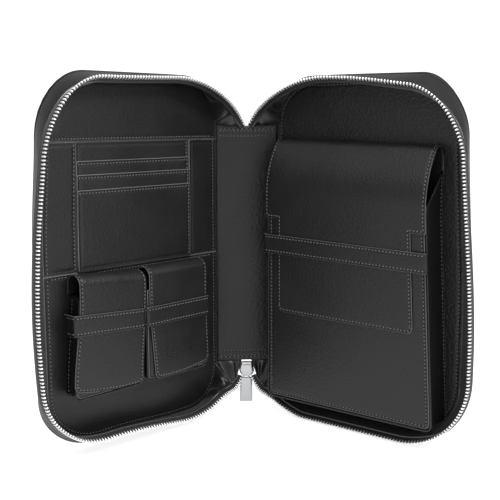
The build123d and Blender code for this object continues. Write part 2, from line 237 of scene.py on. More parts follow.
def noise(tree, place, size_mm, detail, **more):
    """A noise texture whose clouds are about size_mm across."""
    inputs = {"Vector": place, "Scale": spots_per_metre(size_mm), "Detail": detail, **more}
    return node(tree, "ShaderNodeTexNoise", inputs)


def between(tree, factor, dark, light):
    """A colour between two sRGB hex shades."""
    inputs = {"Factor": factor, "A": linear(dark), "B": linear(light)}
    return node(tree, "ShaderNodeMix", inputs, data_type="RGBA").outputs[2]


def varied(tree, value, low, high):
    """A noise value's middle range carried over to the range from low to high."""
    inputs = {"Value": value, "From Min": 0.3, "From Max": 0.7, "To Min": low, "To Max": high}
    return node(tree, "ShaderNodeMapRange", inputs).outputs["Result"]


def bumped(tree, height, strength, depth_mm):
    """A normal from a height pattern."""
    inputs = {"Height": height, "Strength": strength, "Distance": depth_mm * TO_METRES}
    return node(tree, "ShaderNodeBump", inputs).outputs["Normal"]


# %% [markdown]
# ## Leather
#
# The inside is nappa: chrome-tanned calf, dyed black through and finished with a thin satin
# top coat.  The eye sees a nearly black body, a broad soft highlight from the coat, and a fine
# pebble from the hair follicles, about half a millimetre across.  The pebble is one Voronoi
# pattern broken up by noise, used as bump.  Slow noise changes the gloss from place to place,
# as handling does.

# %% Leather materials
PEBBLE_MM = 1.3
CREASE_MM = 4.0
CLOUD_MM = 28.0


def leather(name, dark, light, rough, pebble_depth, pebble_mm=PEBBLE_MM, coat=0.1, specular=0.5):
    """Dyed, coated leather between two shades, with a follicle pebble."""
    material, tree, place, shader = new_material(name)
    cloud = noise(tree, place, CLOUD_MM, 3.0).outputs["Fac"]
    shade = between(tree, cloud, dark, light)
    gloss = varied(tree, cloud, rough - 0.05, rough + 0.06)
    wobble = noise(tree, place, CREASE_MM, 2.0).outputs["Color"]
    bent_place = node(
        tree,
        "ShaderNodeVectorMath",
        {0: wobble, 1: (0.0006, 0.0006, 0.0006), 2: place},
        operation="MULTIPLY_ADD",
    ).outputs["Vector"]
    pebble = node(
        tree,
        "ShaderNodeTexVoronoi",
        {"Vector": bent_place, "Scale": spots_per_metre(pebble_mm), "Smoothness": 0.6},
        feature="SMOOTH_F1",
    ).outputs["Distance"]
    coarse = noise(tree, place, CREASE_MM, 5.0, Roughness=0.6).outputs["Fac"]
    height = node(
        tree,
        "ShaderNodeMath",
        {0: coarse, 1: 0.55, 2: pebble},
        operation="MULTIPLY_ADD",
    ).outputs["Value"]
    set_inputs(
        tree,
        shader,
        Base_Color=shade,
        Roughness=gloss,
        Normal=bumped(tree, height, 0.5, pebble_depth),
        IOR=1.5,
        Specular_IOR_Level=specular,
        Coat_Weight=coat,
        Coat_Roughness=0.35,
    )
    return material


nappa = leather("nappa_black_satin", "#101010", "#191919", 0.42, 0.26, coat=0.08, specular=0.34)
nappa_grained = leather("nappa_black_grained", "#101010", "#1a1a1a", 0.46, 0.5, 1.7, specular=0.34)
calf_outer = leather("calf_black_smooth", "#070707", "#0d0d0e", 0.5, 0.15, coat=0.0, specular=0.22)
glazed_edge = leather("glazed_black_edge", "#161617", "#202021", 0.14, 0.02, coat=0.8)
# Cut edges carry black edge ink; this grey, lighter than the leather, is a painted highlight where the
# edges catch light.
edge_painted_highlight = leather("painted_edge_highlight_charcoal", "#4a4a4b", "#5c5c5e", 0.32, 0.02)

# %% [markdown]
# ## Lining fabric, zip tape and thread
#
# The gussets are lined with a light satin-weave polyester: floats of yarn lie mostly one way,
# which gives a soft sheen across them.  The zip tape is a matt woven band.  A weave is finer
# than the picture can show, so the bump draws it about three times as coarse as it is.
# The thread is bonded polyester, black like the leather; its colour here is a lighter grey, a painted
# sheen for the light it catches.

# %% Fabric and thread materials
YARN_MM = 0.6
FADE_MM = 9.0


def woven(name, dark, light, rough, sheen, depth):
    """A plain woven fabric, from two crossed wave patterns."""
    material, tree, place, shader = new_material(name)
    waves = [
        node(
            tree,
            "ShaderNodeTexWave",
            {"Vector": place, "Scale": spots_per_metre(YARN_MM) / (2 * math.pi), "Distortion": 1.2},
            bands_direction=direction,
        ).outputs["Fac"]
        for direction in ("Z", "DIAGONAL")
    ]
    weave = node(tree, "ShaderNodeMath", {0: waves[0], 1: waves[1]}, operation="MULTIPLY")
    cloud = noise(tree, place, FADE_MM, 4.0).outputs["Fac"]
    set_inputs(
        tree,
        shader,
        Base_Color=between(tree, cloud, dark, light),
        Roughness=rough,
        Normal=bumped(tree, weave.outputs["Value"], 0.4, depth),
        Sheen_Weight=sheen,
        Sheen_Roughness=0.4,
    )
    return material


satin_lining = woven("satin_weave_lining_black", "#080809", "#131314", 0.36, 0.1, 0.05)
zip_tape_cloth = woven("zip_tape_woven_black", "#070707", "#101010", 0.7, 0.1, 0.08)


def plain(name, colour, rough, metallic=0.0, spread=0.06, grain_mm=1.5, depth=0.01):
    """A finish with one colour, whose gloss and relief vary a little."""
    material, tree, place, shader = new_material(name)
    grain = noise(tree, place, grain_mm, 4.0).outputs["Fac"]
    set_inputs(
        tree,
        shader,
        Base_Color=linear(colour),
        Roughness=varied(tree, grain, rough - spread, rough + spread),
        Metallic=metallic,
        Normal=bumped(tree, grain, 0.3, depth),
    )
    return material


# The thread is black; this grey colour is a painted sheen.
thread = plain("bonded_thread_black_painted_sheen", "#58585a", 0.42, grain_mm=0.3, depth=0.05)
# Near-black discs between stitches: painted shade for the dark inside the needle holes.
needle_hole_shade_paint = plain("painted_needle_hole_shade", "#030303", 0.9, grain_mm=0.5)
nickel = plain("polished_nickel", "#b2b3b6", 0.2, metallic=1.0, spread=0.05, depth=0.006)
# The teeth are the same nickel as the slider; their near-white colour is a painted highlight.
tooth_nickel_painted_highlight = plain("satin_nickel_teeth_painted_highlight", "#eeeff1", 0.3, metallic=0.8, spread=0.05, depth=0.006)
board_card = plain("grey_board", "#5d5a55", 0.9, grain_mm=0.8, depth=0.05)

# %% [markdown]
# ## Meshes from surfaces
#
# Leather work is sheets: cut, folded, bent and sewn.  A surface here is a function of two flat
# coordinates and a lift above the sheet, so one outline or grid can be laid on a flat cover or
# bent over a pouch.  Two builders are enough: rings for flat panels whose border matters, and a
# grid for bent sheets.  Both close the mesh, so that every piece has a real thickness.

# %% Mesh helpers
def build(name, points_mm, faces, material, body):
    """A mesh object from points in millimetres, riding on a body unless body is None."""
    mesh = bpy.data.meshes.new(name)
    points = np.asarray(points_mm, float).reshape(-1, 3) * TO_METRES
    mesh.from_pydata(points.tolist(), [], faces)
    mesh.validate()
    mesh.polygons.foreach_set("use_smooth", [True] * len(mesh.polygons))
    obj = bpy.data.objects.new(name, mesh)
    bpy.context.scene.collection.objects.link(obj)
    mesh.materials.append(material)
    recalculate_normals(obj)
    if body:
        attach(obj, body)
    return obj


def recalculate_normals(obj):
    """Turn all faces outward."""
    shape = bmesh.new()
    shape.from_mesh(obj.data)
    bmesh.ops.recalc_face_normals(shape, faces=shape.faces)
    shape.to_mesh(obj.data)
    shape.free()


def grid_faces(rows, columns, start=0, wrap=False):
    """Quads of a rows by columns grid of points; wrap joins the last column to the first."""
    across = columns if wrap else columns - 1
    faces = []
    for i in range(rows - 1):
        for j in range(across):
            k = (j + 1) % columns
            faces.append(
                (
                    start + i * columns + j,
                    start + i * columns + k,
                    start + (i + 1) * columns + k,
                    start + (i + 1) * columns + j,
                )
            )
    return faces


def tube_faces(rows, around, start=0):
    """Faces of a stack of loops, with a cap on the first and on the last."""
    last = start + (rows - 1) * around
    caps = [tuple(first + k for k in range(around)) for first in (start, last)]
    return grid_faces(rows, around, start, wrap=True) + caps


def rings(name, loops, material, body):
    """A closed solid from a stack of loops with the same number of points."""
    loops = np.asarray(loops, float)
    return build(name, loops, tube_faces(*loops.shape[:2]), material, body)


def two_sided(name, top, bottom, material, body):
    """A closed sheet from a grid of points on each of its faces."""
    top, bottom = np.asarray(top, float), np.asarray(bottom, float)
    rows, columns = top.shape[:2]
    size = rows * columns
    faces = grid_faces(rows, columns)
    faces += [tuple(reversed(face)) for face in grid_faces(rows, columns, start=size)]
    border = list(range(columns))
    border += [i * columns + columns - 1 for i in range(1, rows)]
    border += [(rows - 1) * columns + j for j in range(columns - 2, -1, -1)]
    border += [i * columns for i in range(rows - 2, 0, -1)]
    for k, here in enumerate(border):
        after = border[(k + 1) % len(border)]
        faces.append((here, after, after + size, here + size))
    points = np.concatenate([top.reshape(-1, 3), bottom.reshape(-1, 3)])
    return build(name, points, faces, material, body)


def read_at(places, length, values):
    """Values along a path, such as its points, read at other lengths along it."""
    return np.stack([np.interp(places, length, column) for column in np.transpose(values)], axis=-1)


def eased(curve, passes):
    """A curve whose corners are softened by a running average; its ends stay."""
    for _ in range(passes):
        curve[1:-1] = 0.25 * curve[:-2] + 0.5 * curve[1:-1] + 0.25 * curve[2:]
    return curve


def heading_at(place, length, curve, step=0.5):
    """The direction of a flat curve at a length along it, as two numbers or arrays."""
    ahead = [
        np.interp(place + step, length, column) - np.interp(place - step, length, column)
        for column in curve.T
    ]
    size = np.maximum(np.hypot(*ahead), 1e-9)
    return ahead[0] / size, ahead[1] / size


def unit(vectors):
    """Vectors scaled to length one."""
    vectors = np.asarray(vectors, float)
    return vectors / np.maximum(np.linalg.norm(vectors, axis=-1, keepdims=True), 1e-9)


def ripple(a, b, seed=0.0):
    """A slow, even unevenness between -1 and 1, as a soft sheet over a board has."""
    return (
        0.55 * np.sin(a / 19.0 + 1.3 + seed) * np.sin(b / 27.0 + 0.7 - seed)
        + 0.30 * np.sin(a / 9.5 + b / 14.0 + 2.1 * seed)
        + 0.15 * np.sin(b / 7.3 - a / 16.0 + seed)
    )


def flat_surface(side, base, softness=0.12, seed=0.0, outward=False, lean=None):
    """A sheet that lies parallel to a cover; lift goes into the case, or outward."""
    direction = -1.0 if outward else 1.0

    def surface(a, b, lift=0.0):
        depth = base + direction * (lift + softness * (1 + ripple(a, b, seed)))
        if lean:
            return on_cover(side, *lean(a, b), depth)
        return on_cover(side, *relaxed(side, a, b), depth)

    return surface


# %% [markdown]
# ## Panels and stitches
#
# A sewn panel is not a flat plate.  Its edge is turned or skived, so it rounds down to nothing,
# and the thread pulls the leather into a shallow channel a few millimetres inside the edge.
# The panel builder draws loops that follow the outline, close together at the edge and at the
# channel, wide apart elsewhere.
#
# A lock stitch shows as short slanted bars that sink at both ends, where the needle went
# through.  Each bar is a small pill of thread, and each needle hole is a flat near-black disc
# between bars: painted shade for the dark inside the hole.

# %% Panel and stitch builders
CORNER_STEPS = 9
SIDE_STEP = 5.0
PITCH = 2.5
STITCH_LENGTH = 1.6
THREAD_RADIUS = 0.36
HOLE_RADIUS = 0.52
CHANNEL = 0.22


def outline(a0, a1, b0, b1, radii, inset=0.0):
    """Points round a quad with its own radius at each corner, from corner a0,b0 anticlockwise."""
    a_steps = max(2, round((a1 - a0) / SIDE_STEP))
    b_steps = max(2, round((b1 - b0) / SIDE_STEP))
    corners = (
        (a0, b0, 1, 1, math.pi, a_steps),
        (a1, b0, -1, 1, 1.5 * math.pi, b_steps),
        (a1, b1, -1, -1, 0.0, a_steps),
        (a0, b1, 1, -1, 0.5 * math.pi, b_steps),
    )
    arcs = []
    for (a, b, da, db, start, _), radius in zip(corners, radii):
        r = max(radius - inset, 0.25)
        turn = start + np.linspace(0, math.pi / 2, CORNER_STEPS)
        centre = np.array([a + da * (inset + r), b + db * (inset + r)])
        arcs.append(centre + r * np.stack([np.cos(turn), np.sin(turn)], axis=-1))
    points = []
    for k, arc in enumerate(arcs):
        points.append(arc)
        following = arcs[(k + 1) % 4][0]
        steps = np.linspace(0, 1, corners[k][5] + 1)[1:-1, None]
        points.append(arc[-1] + steps * (following - arc[-1]))
    return np.concatenate(points)


def straight_reach(shape):
    """How far a ring can move in before its corners would run into each other."""
    a0, a1, b0, b1, radii = shape
    inset = 0.0
    while inset < min(a1 - a0, b1 - b0) / 2 - 1.0:
        r = [max(radius - inset, 0.25) for radius in radii]
        if a1 - a0 - 2 * inset < max(r[0] + r[1], r[2] + r[3]) + 1.0:
            break
        if b1 - b0 - 2 * inset < max(r[1] + r[2], r[3] + r[0]) + 1.0:
            break
        inset += 0.5
    return inset


def panel(name, surface, shape, thick, material, body, seam=None, crown=0.0):
    """A leather panel on a surface, with a rounded edge and a sewn channel seam mm inside it."""
    a0, a1, b0, b1, radii = shape
    reach = min(a1 - a0, b1 - b0) / 2
    steps = [(min(3.0, reach * 0.6), 0.0), (0.25, 0.0), (0.0, 0.25 * thick)]
    steps += [(0.0, 0.6 * thick), (0.18, 0.88 * thick), (0.5, thick)]
    if seam:
        steps += [(seam - 0.9, thick), (seam - 0.35, thick - CHANNEL)]
        steps += [(seam + 0.35, thick - CHANNEL), (seam + 1.0, thick)]
    depth = steps[-1][0] + 1.5
    deepest = straight_reach(shape)
    while depth < deepest:
        fall = min(1.0, depth / 18.0)
        steps.append((depth, thick + crown * fall))
        depth += min(8.0, max(2.0, depth * 0.35))
    loops = []
    for inset, lift in steps:
        ring = outline(a0, a1, b0, b1, radii, inset)
        loops.append(surface(ring[:, 0], ring[:, 1], lift))
    middle = np.array([(a0 + a1) / 2, (b0 + b1) / 2])
    for share in (0.85, 0.65, 0.45, 0.25, 0.1):
        within = middle + (ring - middle) * share
        loops.append(surface(within[:, 0], within[:, 1], lift))
    made = rings(name, loops, material, body)
    # The faces that round over the panel's edge get the painted edge highlight.
    made.data.materials.append(edge_painted_highlight)
    around = len(ring)
    for face in made.data.polygons[3 * around : 5 * around]:
        face.material_index = 1
    return made


def along(points, closed=False):
    """Cumulative length of a path in the flat, starting at 0."""
    points = np.asarray(points, float)
    if closed:
        points = np.concatenate([points, points[:1]])
    lengths = np.linalg.norm(np.diff(points, axis=0), axis=1)
    return points, np.concatenate([[0.0], np.cumsum(lengths)])


def resample(points, step, closed=False):
    """Evenly spaced points along a path, about step apart."""
    points, length = along(points, closed)
    count = max(2, round(length[-1] / step))
    places = (np.arange(count) + 0.5) * length[-1] / count
    return read_at(places, length, points)


def frames_on(surface, path, step=0.6):
    """Places, directions and outward normals along a path of flat coordinates on a surface."""
    path = np.asarray(path, float)
    a, b = path[:, 0], path[:, 1]
    place = surface(a, b)
    du = surface(a + step, b) - surface(a - step, b)
    dv = surface(a, b + step) - surface(a, b - step)
    normal = unit(surface(a, b, 1.0) - place)
    return place, unit(du), unit(dv), normal


STITCH_ROUND = 6
# Each ring of a bar: its place along the bar, its share of the radius and its height.
STITCH_PROFILE = (
    (-0.5, 0.35, -0.22),
    (-0.36, 0.85, 0.02),
    (0.0, 1.0, 0.14),
    (0.36, 0.85, 0.02),
    (0.5, 0.35, -0.22),
)


def stitches(name, surface, path, body, lift, closed=False, pitch=PITCH, slant=0.16):
    """A row of thread bars along a path on a surface, with painted-shade discs at the needle holes."""
    spots = resample(path, pitch, closed)
    ahead = np.roll(spots, -1, axis=0) - spots
    if not closed:
        ahead[-1] = ahead[-2]
    heading = unit(ahead)
    place, du, dv, normal = frames_on(surface, spots)
    tangent = unit(heading[:, :1] * du + heading[:, 1:] * dv)
    across = np.cross(normal, tangent)
    bar = unit(tangent + slant * across)
    points, faces = [], []
    turns = np.linspace(0, 2 * math.pi, STITCH_ROUND, endpoint=False)
    for k in range(len(spots)):
        base = len(points) * STITCH_ROUND
        side = np.cross(normal[k], bar[k])
        for t, width, height in STITCH_PROFILE:
            centre = place[k] + bar[k] * t * STITCH_LENGTH + normal[k] * (lift + height)
            radius = THREAD_RADIUS * width
            ring = centre + radius * (
                np.cos(turns)[:, None] * side + np.sin(turns)[:, None] * normal[k] * 0.8
            )
            points.append(ring)
        faces += tube_faces(len(STITCH_PROFILE), STITCH_ROUND, base)
    bars = len(faces)
    # Each needle hole is a flat near-black disc: painted shade, not a hole.
    for k in range(len(spots)):
        side = np.cross(normal[k], tangent[k])
        middle = place[k] + tangent[k] * pitch / 2 + normal[k] * lift
        for radius, height in ((HOLE_RADIUS, 0.1), (HOLE_RADIUS * 0.9, 0.17)):
            ring = middle + normal[k] * height
            ring = ring + radius * (
                np.cos(turns)[:, None] * tangent[k] + np.sin(turns)[:, None] * side
            )
            points.append(ring)
        base = (len(points) - 2) * STITCH_ROUND
        faces += tube_faces(2, STITCH_ROUND, base)
    made = build(name, np.concatenate(points), faces, thread, body)
    made.data.materials.append(needle_hole_shade_paint)
    for face in made.data.polygons[bars:]:
        face.material_index = 1
    return made


# %% [markdown]
# ## Sheets that bend
#
# A flap or a strap is a sheet laid over a form.  It is built on a grid that is fine at its
# edges and its seam, and coarse between.  The lift of the upper face falls at the edge, where
# the leather is burnished round, and dips at the seam.  The distance to the edge is measured
# from the sheet's own border, so notches and rounded corners get the same edge.

# %% Bent sheet builder
EDGE_OFFSETS = (0.0, 0.2, 0.55, 1.1, 1.55, 1.95, 2.4, 3.2)


# Faces this near a sheet's edge, and its side faces, get the painted edge highlight.
PAINTED_HIGHLIGHT_WIDTH = 0.5


def fine_lines(low, high, marks, step, offsets=EDGE_OFFSETS):
    """Grid lines from low to high, dense on both sides of each mark."""
    lines = list(np.arange(low, high, step)) + [low, high]
    for mark in marks:
        lines = [v for v in lines if abs(v - mark) > max(offsets) or v in (low, high)]
        lines += [mark + o for o in offsets] + [mark - o for o in offsets]
    lines = sorted({round(v, 3) for v in lines if low - 1e-6 <= v <= high + 1e-6})
    return np.array([v for k, v in enumerate(lines) if k == 0 or v - lines[k - 1] > 0.08])


def border_of(keep):
    """Edges of kept cells that have no kept neighbour, as pairs of grid corners."""
    rows, columns = keep.shape
    padded_keep = np.zeros((rows + 2, columns + 2), bool)
    padded_keep[1:-1, 1:-1] = keep
    edges = []
    for i in range(rows):
        for j in range(columns):
            if not keep[i, j]:
                continue
            if not padded_keep[i, j + 1]:
                edges.append(((i, j), (i, j + 1)))
            if not padded_keep[i + 2, j + 1]:
                edges.append(((i + 1, j + 1), (i + 1, j)))
            if not padded_keep[i + 1, j]:
                edges.append(((i + 1, j), (i, j)))
            if not padded_keep[i + 1, j + 2]:
                edges.append(((i, j + 1), (i + 1, j + 1)))
    return edges


def bent_sheet(
    name, surface, a_lines, b_lines, thick, material, body, seam=None, keep=None, warp=None
):
    """A sheet of leather on a surface; keep masks cells, warp moves the flat grid."""
    b_grid, a_grid = np.meshgrid(b_lines, a_lines, indexing="ij")
    if keep is None:
        keep = np.ones((len(b_lines) - 1, len(a_lines) - 1), bool)
    else:
        middles_b = (b_lines[1:] + b_lines[:-1])[:, None] / 2
        middles_a = (a_lines[1:] + a_lines[:-1])[None, :] / 2
        keep = keep(middles_a, middles_b) & np.ones((len(b_lines) - 1, len(a_lines) - 1), bool)
    if warp:
        a_grid, b_grid = warp(a_grid, b_grid)
    edges = border_of(keep)
    flat = np.stack([a_grid, b_grid], axis=-1)
    starts = np.array([flat[e[0]] for e in edges])
    ends = np.array([flat[e[1]] for e in edges])
    spans = ends - starts
    lengths = np.maximum((spans**2).sum(axis=1), 1e-9)
    distance = np.full(a_grid.shape, 1e9)
    for start, span, length in zip(starts, spans, lengths):
        t = np.clip(((flat - start) @ span) / length, 0, 1)
        distance = np.minimum(distance, np.linalg.norm(flat - start - t[..., None] * span, axis=-1))
    round_over = np.sqrt(np.clip(1 - (1 - np.minimum(distance / 0.55, 1)) ** 2, 0, 1))
    top = thick * (0.55 + 0.45 * round_over)
    low = thick * (0.45 - 0.45 * round_over)
    if seam:
        top = top - 0.16 * np.exp(-(((distance - seam) / 0.5) ** 2))
    upper = surface(a_grid, b_grid, top).reshape(-1, 3)
    lower = surface(a_grid, b_grid, low).reshape(-1, 3)
    columns = len(a_lines)
    size = upper.shape[0]
    faces = []
    highlight_faces = []
    for i, j in zip(*np.nonzero(keep)):
        k = i * columns + j
        quad = (k, k + 1, k + columns + 1, k + columns)
        if distance[i : i + 2, j : j + 2].max() < PAINTED_HIGHLIGHT_WIDTH:
            highlight_faces.append(len(faces))
        faces.append(quad)
        faces.append(tuple(v + size for v in reversed(quad)))
    highlight_faces += range(len(faces), len(faces) + len(edges))
    for (i0, j0), (i1, j1) in edges:
        first, second = i0 * columns + j0, i1 * columns + j1
        faces.append((first, first + size, second + size, second))
    used = sorted({v for face in faces for v in face})
    index = {v: k for k, v in enumerate(used)}
    points = np.concatenate([upper, lower])[used]
    made = build(name, points, [tuple(index[v] for v in face) for face in faces], material, body)
    # Second slot: the painted edge highlight on the edge faces.
    made.data.materials.append(edge_painted_highlight)
    for number in highlight_faces:
        made.data.polygons[number].material_index = 1
    return made


def profile_surface(side, profile, softness=0.0, seed=0.0, lean=upright):
    """A surface over a cover whose section (n, z) is a curve; b runs along the section."""
    places, curve = profile

    def surface(a, b, lift=0.0):
        a, b = np.asarray(a, float), np.asarray(b, float)
        n = np.interp(b, places, curve[:, 0])
        z = np.interp(b, places, curve[:, 1])
        dn, dz = heading_at(b, places, curve, step=0.4)
        raised = lift + softness * ripple(a, b, seed)
        moved, level = lean(a, z)
        return on_cover(side, moved, level - raised * dn, n + raised * dz)

    return surface


def section(points, zero=0, step=0.4):
    """A section curve sampled evenly; its length parameter equals z at point number zero."""
    points = np.asarray(points, float)
    lengths = np.concatenate([[0.0], np.cumsum(np.linalg.norm(np.diff(points, axis=0), axis=1))])
    places = lengths - lengths[zero] + points[zero, 1]
    fine = np.arange(places[0], places[-1], step)
    return fine, eased(read_at(fine, places, points), 4)


# %% [markdown]
# ## The path of the zip
#
# The zip is one long tape that starts at the head of the spine, runs round the cover's wall and
# ends at the foot of the spine.  On the cover it follows a rounded outline.  Beside the spine
# it leaves the cover and swings down to the middle, where the two halves meet.  Stations along
# the path are shared by the leather wall, its lining, the binding, the tape and the teeth.

# %% Stations round a cover
STATIONS = {"web": 44, "long": 56, "corner": 40, "fore": 64}
ARC_POINTS = 40
CHAIN_N = 20.0
RIM_START_U = 16.0
HINGE_NEAR_X = 20.9
SPINE_HALF = 86.0


def arc(centre, radius, start, end, count):
    """Points on an arc in (u, z), angles in degrees from +u."""
    turn = np.radians(np.linspace(start, end, count))
    return np.stack([centre[0] + radius * np.cos(turn), centre[1] + radius * np.sin(turn)], axis=-1)


def evenly(points, count):
    """The same path with count evenly spaced points."""
    points, length = along(points)
    places = np.linspace(0, length[-1], count)
    return read_at(places, length, points)


def bezier(p0, p1, p2, p3, count):
    """A cubic Bezier curve."""
    t = np.linspace(0, 1, count)[:, None]
    p0, p1, p2, p3 = (np.asarray(p, float) for p in (p0, p1, p2, p3))
    return (1 - t) ** 3 * p0 + 3 * (1 - t) ** 2 * t * p1 + 3 * (1 - t) * t**2 * p2 + t**3 * p3


def cover_segments(start, end, height, corner, spine_corner):
    """Five stretches of a rounded outline, from above the spine side round to below it."""
    half = height / 2
    centre_u = end - corner
    centre_z = half - corner
    spine_u = start + spine_corner
    spine_z = half - spine_corner
    begin = 90 + math.degrees(math.asin((spine_u - RIM_START_U) / spine_corner))
    top_arc = arc((spine_u, spine_z), spine_corner, begin, 90, ARC_POINTS)
    top = np.concatenate([top_arc, [[centre_u, half]]])
    bend = arc((centre_u, centre_z), corner, 90, 0, ARC_POINTS)
    fore = np.array([[end, centre_z], [end, -centre_z]])
    segments = [evenly(top, STATIONS["long"]), evenly(bend, STATIONS["corner"])]
    segments.append(evenly(fore, STATIONS["fore"]))
    segments.append(segments[1][::-1] * (1, -1))
    segments.append(segments[0][::-1] * (1, -1))
    return segments


def joined(parts):
    """Stretches joined end to end, without their doubled points."""
    return np.concatenate([parts[0]] + [part[1:] for part in parts[1:]])


COVER_START, COVER_END, COVER_HEIGHT = 0.5, 151.5, 240
SPINE_CORNER, FORE_CORNER = 29, 40


def rim_outline(t, inset):
    """The wall's outline between the cover's shape, t = 0, and the rim's, t = 1."""
    start, end = COVER_START - 30.5 * t + inset, COVER_END + 8.5 * t - inset
    height, corner = COVER_HEIGHT - 7 * t - 2 * inset, FORE_CORNER + 7 * t - inset
    return cover_segments(start, end, height, corner, SPINE_CORNER + 56 * t - inset)


def world(x, y, z):
    """A world point from places relative to the spine's inner face and the middle."""
    return np.array([x, SPINE_Y + y, MIDDLE + z])


RIM_LOWEST = -118.0
RIM_FLARE = math.radians(32.0)
# Each lean of the soft rim: where its middle is, how far it goes outward in millimetres, and how
# far along the rim it fades out. Places count stretches: the head ends at 1, its corner at 2, the
# fore edge at 3, the lower corner at 4 and the foot at 5.
RIM_LEANS = {
    LEFT: ((0, 2, 1), (1.7, -4.5, 0.7), (2.7, 5.5, 0.8), (4, -6.5, 0.9), (5, 1.5, 0.6)),
    RIGHT: ((0, 3, 1), (1.7, -10.5, 1.2), (5, 5, 2)),
}


def swollen(side, segments):
    """The rim's outline after the soft wall has leaned in at some places and out at others."""
    flat = joined(segments)
    marks = [k + np.linspace(0, 1, len(part))[(k > 0) :] for k, part in enumerate(segments)]
    marks = np.concatenate(marks)
    swell = np.zeros(len(marks))
    for middle, amount, reach in RIM_LEANS[side]:
        swell += amount * smooth(1 - np.abs(marks - middle) / reach)
    ahead = unit(np.gradient(flat, axis=0))
    outside = np.stack([-ahead[:, 1], ahead[:, 0]], axis=-1)
    flat = flat + swell[:, None] * outside
    flat[:, 1] = np.maximum(flat[:, 1], RIM_LOWEST)
    return flat


def stations(side):
    """Chain path, height direction and outward direction at each station of a side."""
    flat = swollen(side, rim_outline(1.0, 1.1))
    chain = on_cover(side, flat[:, 0], flat[:, 1], CHAIN_N)
    normal = on_cover(side, 0, 0, 1) - on_cover(side, 0, 0, 0)
    head, foot = chain[0], chain[-1]
    slope_head = unit(chain[0] - chain[1])
    slope_foot = unit(chain[-1] - chain[-2])
    head_end = world(side * 1.15, 0.4, 86.4)
    foot_end = world(side * 3.4, -0.9, -98.2)
    top = bezier(
        head_end,
        head_end + 13 * unit(np.array([side * 0.45, -0.15, 1.0])),
        head + 11 * slope_head,
        head,
        STATIONS["web"],
    )
    bottom = bezier(
        foot,
        foot + 11 * slope_foot,
        foot_end + 15 * unit(np.array([side * 0.38, -0.25, -1.0])),
        foot_end,
        STATIONS["web"],
    )
    path = joined([top, chain, bottom])
    count = len(path)
    web = STATIONS["web"] - 1
    share = np.ones(count)
    share[: web + 1] = np.linspace(0, 1, web + 1)
    share[-web - 1 :] = np.linspace(1, 0, web + 1)
    share = smooth(share)[:, None]
    height = unit(share * normal + (1 - share) * np.array([-side, 0.0, 0.0]))
    tangent = unit(np.gradient(path, axis=0))
    height = unit(height - (height * tangent).sum(axis=1, keepdims=True) * tangent)
    outward = unit(np.cross(tangent, height)) * -side
    fore = np.zeros(count)
    fore[web : count - web] = smooth((flat[:, 0] - 118.0) / 30.0)
    flare = (RIM_FLARE * (1 - fore))[:, None]
    up = np.cos(flare) * height + np.sin(flare) * outward
    out = np.cos(flare) * outward - np.sin(flare) * height
    return path, up, out, tangent


def foot_path(side, n, inset, spine_y, end_x):
    """The wall's foot: along the spine's end, up the hinge, and round the cover's border."""
    flat = rim_outline(0.0, inset)
    corner = SPINE_CORNER - inset
    begin = 90 + math.degrees(math.asin((COVER_START + SPINE_CORNER - RIM_START_U) / corner))
    bend = arc((COVER_START + SPINE_CORNER, 91.0), corner, 180, begin, 24)
    bend = np.concatenate([[[COVER_START + inset, 88.0]], bend])
    rise = on_cover(side, *relaxed(side, bend[:, 0], bend[:, 1]), n)
    tops = {}
    for sign in (1, -1):
        reach = np.linspace(end_x[sign], HINGE_NEAR_X, 14)
        across = np.array([world(side * x, spine_y, 86.3) for x in reach])
        path = np.concatenate([across, rise])
        if sign < 0:
            path[:, 2] = 2 * MIDDLE - path[:, 2]
        tops[sign] = evenly(path, STATIONS["web"])
    flat = joined(flat)
    middle = on_cover(side, *relaxed(side, flat[:, 0], flat[:, 1]), n)
    return joined([tops[1], middle, tops[-1][::-1]])


# %% [markdown]
# ## The wall: leather outside, satin inside
#
# The wall is a strip of leather with a loose satin lining.  It stands up from the cover, and its
# rim is longer than its foot beside the spine, because it has to let the case open.  There the
# lining gathers in folds that run from the board to the tape.  The same mesh covers the wall
# and both corners, and runs round the hinge from the cover to the spine.

# %% Wall pieces
WALL_ROWS = 22
REACH_OF_BLEND = 17.0


def bend_with_hinge(obj, side):
    """Bake the placement of a piece that crosses the hinge into its mesh."""
    start = on_cover(side, REACH_OF_BLEND, 0, 8.0) * TO_METRES
    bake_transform(obj)


def web_window(count):
    """1 in the soft corners beside the spine, 0 along the cover, with soft ends."""
    web = STATIONS["web"]
    place = np.arange(count, dtype=float)
    near = np.minimum(place, count - 1 - place)
    return smooth((web + 5 - near) / 10) * smooth(near / 4)


def fold_field(count, rows, seed):
    """Folds of the gathered lining: they run across the wall, deepest in the corners."""
    rng = np.random.default_rng(seed)
    place = np.arange(count, dtype=float)[:, None]
    t = np.linspace(0, 1, rows)[None, :]
    near = np.minimum(place, count - 1 - place)
    total = np.zeros((count, rows))
    for wave in (15.0, 9.5, 6.4):
        phase = rng.uniform(0, 2 * math.pi)
        lean = rng.uniform(-2.5, 2.5)
        total += wave / 15.0 * np.sin(2 * math.pi * (near + lean * t) / wave + phase)
    sharp = np.sign(total) * np.abs(total) ** 0.8
    return sharp * np.sin(math.pi * t) ** 0.7


def wall_grid(foot, rim, outward, bulge):
    """Points from the foot to the rim with a soft outward bulge."""
    t = np.linspace(0, 1, WALL_ROWS)[None, :, None]
    belly = bulge[:, None, None] * (4 * t * (1 - t)) * outward[:, None, :]
    return foot[:, None, :] * (1 - t) + rim[:, None, :] * t + belly


def sweep(name, path, height, outward, shape, material):
    """A closed section (height, outward) carried along a path."""
    shape = np.asarray(shape, float)
    loops = (
        path[:, None, :]
        + shape[None, :, :1] * height[:, None, :]
        + shape[None, :, 1:] * outward[:, None, :]
    )
    return rings(name, loops, material, None)


def tube_section(h, o, radius_h, radius_o, count=10):
    """A rounded section round a point (h, o)."""
    turn = np.linspace(0, 2 * math.pi, count, endpoint=False)
    return np.stack([h + radius_h * np.cos(turn), o + radius_o * np.sin(turn)], axis=-1)


